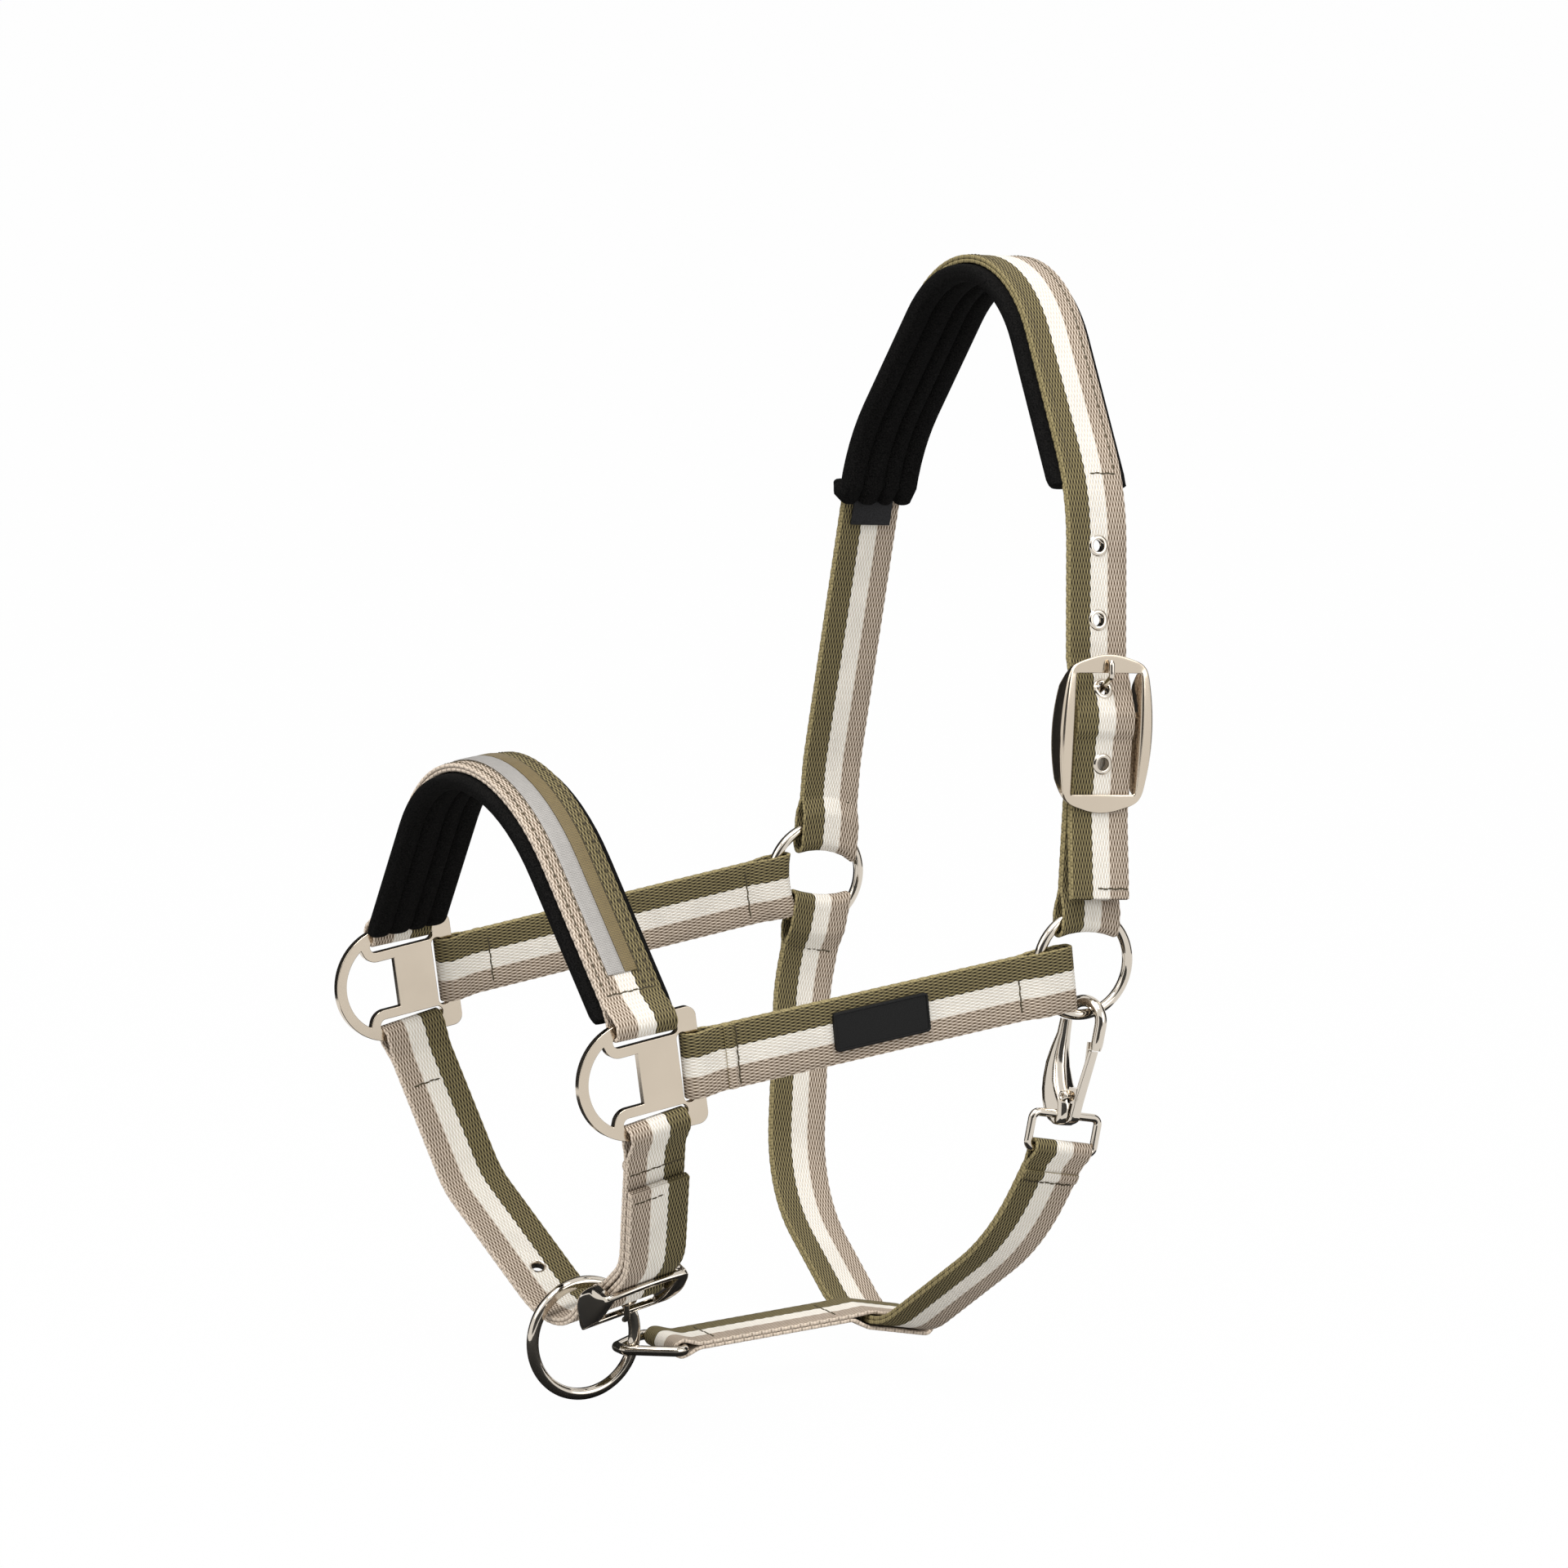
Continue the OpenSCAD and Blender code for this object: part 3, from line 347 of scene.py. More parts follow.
class Nodes:
    """Short ways to add to the nodes of a material or world."""

    def __init__(self, owner):
        owner.use_nodes = True
        self.tree = owner.node_tree

    def node(self, kind, *inputs, **settings):
        made = self.tree.nodes.new("ShaderNode" + kind)
        for key, value in settings.items():
            setattr(made, key, value)
        for socket, value in zip(made.inputs, inputs):
            self.feed(value, socket)
        return made

    def feed(self, value, socket):
        if isinstance(value, bpy.types.NodeSocket):
            self.tree.links.new(value, socket)
        elif isinstance(value, bpy.types.Node):
            self.tree.links.new(value.outputs[0], socket)
        elif value is not None:
            socket.default_value = value

    def sum(self, operation, *values):
        return self.node("Math", *values, operation=operation).outputs[0]


class Finish(Nodes):
    """A material and the looks of its shader."""

    def __init__(self, name, **sockets):
        self.material = bpy.data.materials.new(name)
        super().__init__(self.material)
        self.shader = self.tree.nodes["Principled BSDF"]
        for key, value in sockets.items():
            self.shader.inputs[key.replace("_", " ")].default_value = value

    def place(self):
        return self.node("TexCoord").outputs["Object"]

    def ramp(self, value, *stops, interpolation="LINEAR"):
        made = self.node("ValToRGB", value)
        made.color_ramp.interpolation = interpolation
        points = made.color_ramp.elements
        while len(points) < len(stops):
            points.new(1)
        for point, (position, colour) in zip(points, stops):
            point.position = position
            point.color = colour
        return made.outputs["Color"]

    def noise(self, scale, detail=2.0, vector=None):
        made = self.node("TexNoise")
        self.feed(vector or self.place(), made.inputs["Vector"])
        made.inputs["Scale"].default_value = scale
        made.inputs["Detail"].default_value = detail
        return made.outputs["Fac"]

    def mix(self, amount, a, b, blend="MIX"):
        made = self.node("Mix", data_type="RGBA", blend_type=blend)
        self.feed(amount, made.inputs["Factor"])
        self.feed(a, made.inputs["A"])
        self.feed(b, made.inputs["B"])
        return made.outputs["Result"]

    def bump(self, height, strength, distance):
        made = self.node("Bump")
        made.inputs["Strength"].default_value = strength
        made.inputs["Distance"].default_value = distance
        self.feed(height, made.inputs["Height"])
        self.feed(made.outputs["Normal"], self.shader.inputs["Normal"])

    def colour(self, value):
        self.feed(value, self.shader.inputs["Base Color"])

    def rough(self, value):
        self.feed(value, self.shader.inputs["Roughness"])


# Where the stripes end, as shares of the webbing's width, and their colours with painted shade in the weave's
# hollows and painted light on its crests
GREEN_END, WHITE_END, STRIPE_WAVER = 0.36, 0.66, 0.007
PAINTED_SHADE_HOLLOWS = (24, 18, 5), (208, 198, 183), (90, 74, 56)
PAINTED_LIGHT_CRESTS = (158, 144, 102), (255, 253, 246), (236, 219, 200)
RIB, RIBBON_THREAD = 0.7, 0.6
DULLER = 1.3


def webbing_finish():
    """Striped webbing: long grains of yarn in columns, each column half a row on from its neighbours, with painted
    shade in their hollows and painted light on their crests.
    """
    f = Finish("striped_webbing", Roughness=0.8, Specular_IOR_Level=0.25)
    uv = f.node("SeparateXYZ", f.node("UVMap", uv_map="weave"))
    across = f.sum("MULTIPLY", uv.outputs["X"], WEB_W)
    along = f.sum("DIVIDE", f.sum("MULTIPLY", uv.outputs["Y"], WEB_W), WEAVE_ROW)
    column = f.sum("DIVIDE", across, WEAVE_COLUMN)
    odd = f.sum("FLOORED_MODULO", f.sum("FLOOR", column), 2.0)
    row = f.sum("MULTIPLY_ADD", odd, 0.5, along)
    side = f.sum("SINE", f.sum("MULTIPLY", f.sum("FRACT", column), pi))
    crest = f.sum("MULTIPLY_ADD", f.sum("COSINE", f.sum("MULTIPLY", row, 2 * pi)), 0.5, 0.5)
    grain = f.sum("MULTIPLY", f.sum("MULTIPLY_ADD", side, 0.7, 0.3), crest)
    saw = f.sum("MULTIPLY", f.sum("COSINE", f.sum("MULTIPLY", along, 2 * pi)), STRIPE_WAVER)
    stripe = f.sum("ADD", uv.outputs["X"], saw)
    # dark is each stripe's colour with painted shade, light is its colour with painted light
    dark, light = [
        f.ramp(stripe, (0.0, tint(*green)), (GREEN_END, tint(*white)), (WHITE_END, tint(*beige)),
               interpolation="CONSTANT")
        for green, white, beige in (PAINTED_SHADE_HOLLOWS, PAINTED_LIGHT_CRESTS)]
    # The grain's height mixes painted shade into the weave's hollows and painted light on to its crests
    face = f.mix(grain, dark, light)
    rim = f.sum("ABSOLUTE", f.sum("SUBTRACT", uv.outputs["X"], 0.5))
    selvedge = f.ramp(rim, (0.478, grey(0)), (0.497, grey(1)))
    yarn = f.sum("MULTIPLY_ADD", f.sum("COSINE", f.sum("MULTIPLY", along, 6 * pi)), 0.3, 0.65)
    # The selvedges take the crests' colour, painted light included
    face = f.mix(f.sum("MULTIPLY", selvedge, yarn), face, light)
    worn = f.ramp(f.noise(70.0, 4.0), (0.3, grey(0.9)), (0.7, grey(1)))
    f.colour(f.mix(1.0, face, worn, "MULTIPLY"))
    fibre = f.sum("MULTIPLY", f.noise(2600.0), 0.12)
    f.bump(f.sum("ADD", grain, fibre), 0.6, 0.0005)
    return f.material


def fleece_finish():
    """A dull nap that swallows most of the light."""
    f = Finish("black_fleece", Roughness=1.0, Specular_IOR_Level=0.08)
    nap = f.noise(1800.0, 5.0)
    f.colour(f.ramp(nap, (0.35, tint(3, 3, 3)), (0.72, tint(26, 25, 24))))
    f.bump(nap, 0.7, 0.0006)
    return f.material


def nickel_finish(name, gloss, base):
    """Nickel plate, with its gloss and tone broken by faint wide clouds."""
    f = Finish(name, Metallic=1.0)
    cloud = f.noise(45.0, 2.0)
    f.colour(f.mix(cloud, tint(*base), tint(*[c - 12 for c in base])))
    f.rough(f.ramp(cloud, (0.3, grey(gloss)), (0.7, grey(gloss * DULLER))))
    return f.material


def ribbon_finish(name, dark, light, rough):
    """Narrow woven tape with fine crosswise ribs, with painted light on their crests and painted shade between them.
    """
    f = Finish(name, Roughness=rough, Sheen_Weight=0.2, Sheen_Roughness=0.4)
    uv = f.node("SeparateXYZ", f.node("UVMap", uv_map="weave"))
    rib = f.sum("SINE", f.sum("MULTIPLY", uv.outputs["Y"], 2 * pi * WEB_W / RIB))
    rib = f.sum("MULTIPLY_ADD", rib, 0.5, 0.5)
    thread = f.sum("SINE", f.sum("MULTIPLY", uv.outputs["X"], 2 * pi * WEB_W / RIBBON_THREAD))
    cloth = f.sum("MULTIPLY_ADD", thread, 0.25, f.sum("MULTIPLY", rib, 0.6))
    # The colour follows the ribs and threads: painted light on their tops and painted shade between them, with
    # random tone from the noise
    f.colour(f.mix(f.sum("ADD", cloth, f.sum("MULTIPLY", f.noise(400.0, 4.0), 0.3)), tint(*dark), tint(*light)))
    f.bump(cloth, 0.35, 0.0002)
    return f.material


def rubber_finish(name, dark, light, rough):
    """A dark skin with a fine grain."""
    f = Finish(name, Roughness=rough, Specular_IOR_Level=0.2)
    grain = f.noise(2200.0, 3.0)
    f.colour(f.ramp(grain, (0.3, tint(*dark)), (0.75, tint(*light))))
    f.bump(grain, 0.25, 0.0002)
    return f.material


def thread_finish():
    """Sewing thread, mottled by its twist."""
    f = Finish("olive_thread", Roughness=0.8)
    twist = f.noise(1500.0, 3.0)
    f.colour(f.ramp(twist, (0.3, tint(46, 40, 26)), (0.7, tint(84, 74, 50))))
    f.bump(twist, 0.5, 0.0003)
    return f.material


WEBBING = webbing_finish()
FLEECE = fleece_finish()
POLISHED = nickel_finish("polished_nickel", 0.06, (216, 207, 194))
SATIN = nickel_finish("satin_nickel", 0.13, (212, 199, 181))
# Each tape's two colours are its painted shade and its painted light
RIBBON = ribbon_finish("silver_ribbon", (112, 109, 105), (172, 168, 163), 0.5)
TRIM = ribbon_finish("gold_braid", (62, 50, 22), (124, 106, 62), 0.6)
RUBBER = rubber_finish("badge_rubber", (10, 10, 10), (26, 26, 26), 0.6)
LABEL = rubber_finish("label_satin", (14, 14, 15), (40, 40, 42), 0.55)
THREAD = thread_finish()
STEEL = nickel_finish("spring_steel", 0.25, (170, 168, 165))


# Straps of webbing: one layer that runs out, round a bar, back, and round the other end

FACE = LAYER + 0.02
CUP_REACH, CUP_FADE = 30, 24
RIDGE_PACE, RIDGE_LIFT, RIDGE_T = 0.5, 0.45, 1.1
ROW_PITCH, CROSS_PITCH, CROSS_WAVER = 2.6, 2.3, 0.12
ROW_STITCH, CROSS_STITCH = (0.26, 0.28, 1.15), (0.3, 1.25, 0.34)


def reach(end):
    """How far an end's loop takes up before the strap's two layers meet."""
    return TAPER * (end[0] + LOOP_GAP) + LAYER * tan(asin(1 / TAPER) / 2) if end else 0


def end_path(end, at, towards):
    """The layer's middle line round a bar [radius, slack], or round its own fold where the end is plain."""
    half = LAYER / 2
    if end:
        r, slack = end[0] + LOOP_GAP, end[1]
        f = degrees(asin(1 / TAPER))
        side = [complex(half, TAPER * r + half * tan(radians(f) / 2))]
        side += arc(0, r + half, f, 0) + arc(-1j * slack, r + half, 0, -90)
        line = side + mirrored(side)[1:]
    else:
        line = arc(1j * LAYER, half, 0, -180, 30)
    return [at + q * towards / 1j for q in line]


def web_section(width=WEB_W, thick=LAYER - 0.06):
    """One layer of webbing seen end on, with rounded selvedges."""
    half, edge = width / 2, thick / 2
    top = [(edge, half * k) for k in (-0.97, -0.66, -0.33, 0, 0.33, 0.66, 0.97)]
    side = [(edge * 0.7, half * 0.995), (0, half), (-edge * 0.7, half * 0.995)]
    return top + side + [(-x, -y) for x, y in top] + [(-x, -y) for x, y in side]


class Strap:
    """A doubled strap: the middle way between its ends, and the one layer that goes all round it.

    green is 1 where the green stripe lies towards the plane's Z, and -1 where it lies away from it."""

    def __init__(self, plane, green, points, bends, first, last, slot="webbing_olive"):
        start, finish = unit(points[1] - points[0]), unit(points[-2] - points[-1])
        ends = points[0] + reach(first) * start, points[-1] + reach(last) * finish
        self.plane, self.green, self.slot, self.cups = plane, green, slot, []
        self.way = route([ends[0]] + points[1:-1] + [ends[1]], bends)
        self.layer = (end_path(first, points[0], start) + beside(self.way, LAYER / 2)
                      + end_path(last, points[-1], finish) + beside(self.way, -LAYER / 2)[::-1])

    def part(self, start, stop):
        """The middle way from one distance to another; below 0 they count back from its end."""
        whole = length_of(self.way)
        line = paced(self.way, 0.25)
        start, stop = [round((d if d >= 0 else whole + d) / whole * (len(line) - 1)) for d in (start, stop)]
        return line[start:stop + 1]

    def webbing(self, name, node, holes=()):
        """The strap's own piece, a little wavy at its selvedges."""
        frames = stations(eased(paced(self.layer, PACE, True, 6), 2), self.plane, True)
        frames = [f @ Matrix.Diagonal((1, 1 + 0.007 * cos(2 * pi * i * PACE / WEAVE_ROW), 1, 1))
                  for i, f in enumerate(frames)]
        bm = bmesh.new()
        sweep(bm, web_section(), frames, True, self.green)
        self.settle(bm)
        obj = piece(bm, name, WEBBING, "collar", node)
        if holes:
            punch(obj, holes)

    def settle(self, bm):
        """Draws the loops up against the curve of their rings; each cup is (ring's centre, way out, share)."""
        across = self.plane.col[2].xyz
        for ring_c, way, share in self.cups:
            off = abs((ring_c - self.plane.translation).dot(across)) + WEB_HALF
            for v in bm.verts:
                d = v.co - ring_c
                if d.length < RING_R + CUP_REACH:
                    fade = 1 - min(1, max(0, (d.dot(way) - RING_R) / CUP_FADE))
                    rise = sqrt(max(0, RING_R ** 2 - d.dot(across) ** 2)) - sqrt(RING_R ** 2 - off ** 2)
                    v.co += way * (share * rise * fade * fade * (3 - 2 * fade))

    def ridge(self, bm, start, stop, face):
        """The raw end of the webbing, turned under and sewn down on one face."""
        line = beside(paced(self.part(start, stop), RIDGE_PACE), face * (LAYER + RIDGE_LIFT))
        frames = tapered(stations(line, self.plane), ((0.35, 0.985), (0.8, 0.985)))
        sweep(bm, web_section(WEB_W - 0.2, RIDGE_T), frames, False, self.green, RIDGE_PACE)

    def row(self, bm, start, stop, aside, face):
        """Stitches along one face, aside of its middle by a share of half the width."""
        line = paced(self.part(start, stop), ROW_PITCH)
        for f in stations(line, self.plane)[1:-1]:
            stitch(bm, f @ Matrix.Translation((face * FACE, aside * WEB_HALF, 0)), ROW_STITCH)

    def cross(self, bm, distance, low, high, face):
        """Stitches straight across one face, between two shares of half the width."""
        f = stations(self.part(distance - 1, distance + 1), self.plane)[4]
        count = max(2, round((high - low) * WEB_HALF / CROSS_PITCH))
        for i in range(count):
            y = WEB_HALF * (low + (high - low) * (i + 0.5) / count)
            stitch(bm, f @ Matrix.Translation((face * FACE, y, CROSS_WAVER * (-1) ** i)), CROSS_STITCH)


def stitch(bm, place, size):
    bmesh.ops.create_uvsphere(bm, u_segments=8, v_segments=5, radius=1, matrix=place @ Matrix.Diagonal((*size, 1)))


def sewn(name, strap, node, rows=(), crosses=(), through=()):
    """All the visible stitches of one strap; a seam that goes through it shows on both faces."""
    bm = bmesh.new()
    for row in rows:
        strap.row(bm, *row)
    for cross in [*crosses, *[(*seam, face) for seam in through for face in (1, -1)]]:
        strap.cross(bm, *cross)
    piece(bm, name, THREAD, "collar", node)


def turned_end(name, strap, node, *place):
    """The ridge of a turned end, as a piece of its own."""
    bm = bmesh.new()
    strap.ridge(bm, *place)
    piece(bm, name, WEBBING, "collar", node)


def punch(obj, holes):
    """Cuts round holes; each is (frame with Z along the hole, radius, depth)."""
    bm = bmesh.new()
    for hole in holes:
        rod(bm, *hole)
    cut_away(obj, bm)


def ring_slack(inside, off):
    """How far a loop's middle stands off a ring, across whose curve the webbing's width lies."""
    return inside - sqrt(inside ** 2 - (abs(off) + WEB_HALF) ** 2) + LAY_GAP


# Crown layout

RING_R, RING_WIRE, RING_LEG = 19.6, 4, 26
OFF_RING_LEAD = 3.6
RING_IN = RING_R - RING_WIRE / 2
CROWN_LEAN, RING_DROP = 5, 247
SHOULDER_X, SHOULDER_DROP, CROWN_PEAK, SHOULDER_R, LEG_R = 84, 70, 49, 80, 60
CROWN_PAD_T, PAD_MARGIN = 7.2, 4.1
crown_plane = stand((0, 0, 0), -CROWN_LEAN)
near_ring_at = complex(HALF_SPAN, -RING_DROP)
off_ring_at = complex(-HALF_SPAN, -RING_DROP)
near_shoulder = complex(SHOULDER_X, -SHOULDER_DROP)
off_shoulder = complex(-SHOULDER_X, -SHOULDER_DROP)
crown_top = complex(0, CROWN_PEAK)
crown_mid = CROWN_PAD_T + LAY_GAP + LAYER
crown_r = (CROWN_PEAK - crown_mid) / (1 / cos(atan2(CROWN_PEAK + SHOULDER_DROP, SHOULDER_X)) - 1)
off_eye_at = off_ring_at + 1j * RING_R
off_leg_start = off_eye_at + 1j * RING_LEG
off_leg_dir = unit(off_shoulder - off_leg_start)
near_ring_c = crown_plane @ flat(near_ring_at)
off_ring_c = crown_plane @ (flat(off_ring_at) + Vector((0, 0, OFF_RING_LEAD)))


def ring_loop(off, ease):
    return [RING_WIRE / 2 + ease, ring_slack(RING_IN, off)]


# Buckles, seen from the side: centre bar at 0, tongue along +X, outwards +Y

BAR_R, TONGUE_D, FLANGE_T = 1.7, 2.4, 0.5
BUCKLE_IN, BUCKLE_SIDE, DOME, SIDE_BOW, END_BOW = 28.4, 5.8, 2, 1.6, 1.2
WINDOW_BOW, WINDOW_R, RAIL_CUT, RAIL_SLIP = 0.05, 1.2, 0.4, 1.5
FLANK_CLEAR, FLANK_FADE, FLANK_RISE = 5, 4, 0.55
TONGUE_ROOT, TONGUE_BENDS, TONGUE_PACE = complex(2.4, -0.2), [3, 2], 0.6
TONGUE_EYE_GAP, TONGUE_EYE_T, TONGUE_EYE_W = 0.55, 1.5, 2.7
WEAVE_SLOPE, WEAVE_R, OVER_X, UNDER_Y = 50, 2.6, 3.2, -2.2
EYELET_R, EYELET_WALL, EYELET_FLANGE, EYELET_PITCH = 2.4, 0.5, 4.1, 28
wrap_r = BAR_R + LOOP_GAP + LAYER
over_y = wrap_r + LAY_GAP + LAYER
tail_y = WEB_T + LAY_GAP + FLANGE_T
bar_back_y = tail_y + LAYER + LAY_GAP
dip_x = OVER_X + (over_y - UNDER_Y) / tan(radians(WEAVE_SLOPE))
tail_x = wrap_r + 2
weave = [complex(dip_x, UNDER_Y), complex(OVER_X, over_y), complex(-OVER_X, over_y), complex(-tail_x, tail_y)]
weave_bends = [WEAVE_R] * 4
# From the centre bar to each end bar, end bars' width, corners, height of the front, and the tongue's lower bend
crown_size = dict(tip=19, tail=27, end=7, corner=12, crest=bar_back_y + 2.6, low=complex(10.6, -1.2))
chin_size = dict(tip=13, tail=15.6, end=4.2, corner=5, crest=bar_back_y + 4.2, low=complex(6, 5))


def over_bar(size, x):
    """A point of the tongue's middle line where it lies on the frame's front."""
    mid, half = (size["tip"] - size["tail"]) / 2, (size["tip"] + size["tail"]) / 2 + size["end"]
    return complex(x, size["crest"] - DOME * ((x - mid) / half) ** 2 + TONGUE_D / 2 + LAY_GAP)


def eyelet_spot(size):
    """Where a straight tongue meets the strap's slope."""
    knee = over_bar(size, size["tip"]) - TONGUE_D / 2
    rise, fall = knee.imag / knee.real, tan(radians(WEAVE_SLOPE))
    return (over_y + OVER_X * fall) / (rise + fall) * complex(1, rise)


def in_buckle(spot, q):
    """A point of a buckle's side view, in the plane of its strap; spot is (bar, tongue's way, outwards)."""
    return spot[0] + q.real * spot[1] + q.imag * spot[2]


CHAPE_LEN, CHAPE_LEAN = 72.4, 3
CROWN_RISE_X, CROWN_RISE_Y = 23.5, -3.4
CROWN_TAIL, TAIL_LIFT, TAIL_KINK_AT, TAIL_KINK_R = 67, 4.5, 36, 40
FREE_EYELET_SET, TAIL_EYELET_AT, HELD_EYELET_AT = 28.4, 15.5, 9.8
chape_dir = heading(90 + CHAPE_LEAN)
chape_at = near_ring_at + 1j * RING_R
crown_spot = (chape_at + CHAPE_LEN * chape_dir, chape_dir, -1j * chape_dir)
crown_weave = [in_buckle(crown_spot, q) for q in [complex(CROWN_RISE_X, CROWN_RISE_Y)] + weave[1:]]
near_leg = unit(crown_weave[0] - near_shoulder)
crown_tail = [in_buckle(crown_spot, q)
              for q in (complex(-TAIL_KINK_AT, tail_y), complex(-CROWN_TAIL, tail_y + TAIL_LIFT))]
crown_points = [off_eye_at, off_leg_start, off_shoulder, crown_top, near_shoulder] + crown_weave + crown_tail
crown_bends = [LEG_R, SHOULDER_R, crown_r, SHOULDER_R] + weave_bends + [TAIL_KINK_R]
free_eyelet_at = FREE_EYELET_SET + dip_x - CROWN_RISE_X
crown_held = unit(crown_weave[0] - crown_weave[1])
crown_eyelets = [(crown_weave[1] + HELD_EYELET_AT * crown_held, -1j * crown_held),
                 (in_buckle(crown_spot, complex(-TAIL_EYELET_AT, tail_y)), crown_spot[2])]
crown_eyelets += [(crown_weave[0] - (free_eyelet_at + EYELET_PITCH * i) * near_leg, 1j * near_leg) for i in (0, 1)]


def eyelet_frames(plane, spots):
    """Frames with Z outwards through each eyelet."""
    frames = []
    for at, out in spots:
        along = -1j * out
        frames.append(plane @ Matrix(((along.real, 0, out.real, at.real), (along.imag, 0, out.imag, at.imag),
                                      (0, -1, 0, 0), (0, 0, 0, 1))))
    return frames


def eyelet_holes(plane, spots):
    return [(f, EYELET_R + EYELET_WALL * 0.6, 3 * WEB_T) for f in eyelet_frames(plane, spots)]


def eyelets(name, plane, spots, node):
    """Rolled eyelets: a domed flange in front, a thin one behind and an open bore."""
    bm = bmesh.new()
    front, bore = WEB_T / 2, EYELET_R
    profile = [(bore, -front), (bore, front), (bore + 0.15, front + 0.4), (bore + 0.6, front + FLANGE_T),
               (bore + 1.1, front + 0.42), (EYELET_FLANGE - 0.2, front + 0.2), (EYELET_FLANGE, front - 0.05),
               (EYELET_FLANGE - 0.4, front - 0.1), (bore + EYELET_WALL, front - 0.1), (bore + EYELET_WALL, -front),
               (EYELET_FLANGE - 1, -front), (EYELET_FLANGE - 1.2, -front - 0.35), (bore + 0.3, -front - 0.3)]
    for f in eyelet_frames(plane, spots):
        spun(bm, f, profile, 32)
    return piece(bm, name, POLISHED, "collar", node, sharp=50)


crown = Strap(crown_plane, 1, crown_points, crown_bends, ring_loop(OFF_RING_LEAD, 0.2), [])
crown.cups.append((off_ring_c, crown_plane.col[1].xyz, 0.6))
crown.webbing("crown_webbing", "crown_strap", eyelet_holes(crown_plane, crown_eyelets))
eyelets("crown_eyelet_set", crown_plane, crown_eyelets, "crown_eyelets")
chape_ease = ring_slack(RING_IN, 0) * sin(radians(CHAPE_LEAN))
chape = Strap(crown_plane, 1, [chape_at, crown_spot[0]], [], ring_loop(0, chape_ease), [BAR_R, BAR_SLACK / 5])


def tongue_slot(plane, spot):
    """The slot in a chape's fold, as a hole to cut."""
    place = plane @ Matrix.Translation(flat(spot[0] + spot[1])) @ Matrix.Rotation(cmath.phase(spot[2]), 4, "Z")
    return [(place @ Matrix.Rotation(radians(90), 4, "Y") @ Matrix.Diagonal((1, 2, 1, 1)), TONGUE_D * 0.75, 30)]


chape.cups.append((near_ring_c, crown_plane.to_3x3() @ flat(chape_dir), 0.5))
chape.webbing("chape_webbing", "buckle_chape", tongue_slot(crown_plane, crown_spot))


# Rings and wire

def ring(name, centre, r, wire, node):
    """A round ring of wire that stands across X."""
    bm = bmesh.new()
    circle = bmesh.ops.create_circle(bm, segments=20, radius=wire / 2,
                                     matrix=Matrix.Translation(centre + Vector((0, r, 0))))
    bmesh.ops.spin(bm, geom=circle["verts"] + bm.edges[:], cent=centre, axis=(1, 0, 0), angle=2 * pi, steps=96,
                   use_merge=True)
    bmesh.ops.remove_doubles(bm, verts=bm.verts[:], dist=WELD)
    return piece(bm, name, POLISHED, node, node)


ring("near_cheek_ring", near_ring_c, RING_R, RING_WIRE, "near_ring")
ring("off_cheek_ring", off_ring_c, RING_R, RING_WIRE, "off_ring")


# Buckle frames

def bowed(half, reach, bow):
    """Radius, half swing and centre of a bowed edge that is 2 * half long and reach out at its middle."""
    r = (half ** 2 + bow ** 2) / (2 * bow)
    return r, degrees(asin(half / r)), reach - r


def buckle_outline(half_l, half_w, side_bow, end_bow, r):
    """A box with rounded corners and bowed sides and ends, as points all round."""
    side_r, side_swing, side_c = bowed(half_l - r, half_w, side_bow)
    end_r, end_swing, end_c = bowed(half_w - r, half_l, end_bow)
    side = arc(1j * side_c, side_r, 90 - side_swing, 90 + side_swing, side_swing / 8)
    end = arc(end_c, end_r, -end_swing, end_swing, end_swing / 8)
    half = end[len(end) // 2:] + rounded(end, side) + side[:len(side) // 2 + 1]
    upper = half[:-1] + mirrored(half)
    return upper[:-1] + [q.conjugate() for q in reversed(upper)][:-1]


def rounded(before, after):
    """A smooth corner between the end of one run and the start of the next."""
    a, b = before[-1], after[0]
    into, out = unit(before[-1] - before[-2]), unit(after[1] - after[0])
    pull = abs(b - a) * 0.55
    points = []
    for i in range(1, 12):
        t = i / 12
        points.append((1 - t) ** 3 * a + 3 * (1 - t) ** 2 * t * (a + pull * into)
                      + 3 * (1 - t) * t ** 2 * (b - pull * out) + t ** 3 * b)
    return points


def buckle_turn(plane, spot):
    """Places a buckle's own space: X along the tongue, Y outwards, Z across."""
    at, along, out = spot
    return plane @ Matrix(((along.real, out.real, 0, at.real), (along.imag, out.imag, 0, at.imag),
                           (0, 0, 1, 0), (0, 0, 0, 1)))


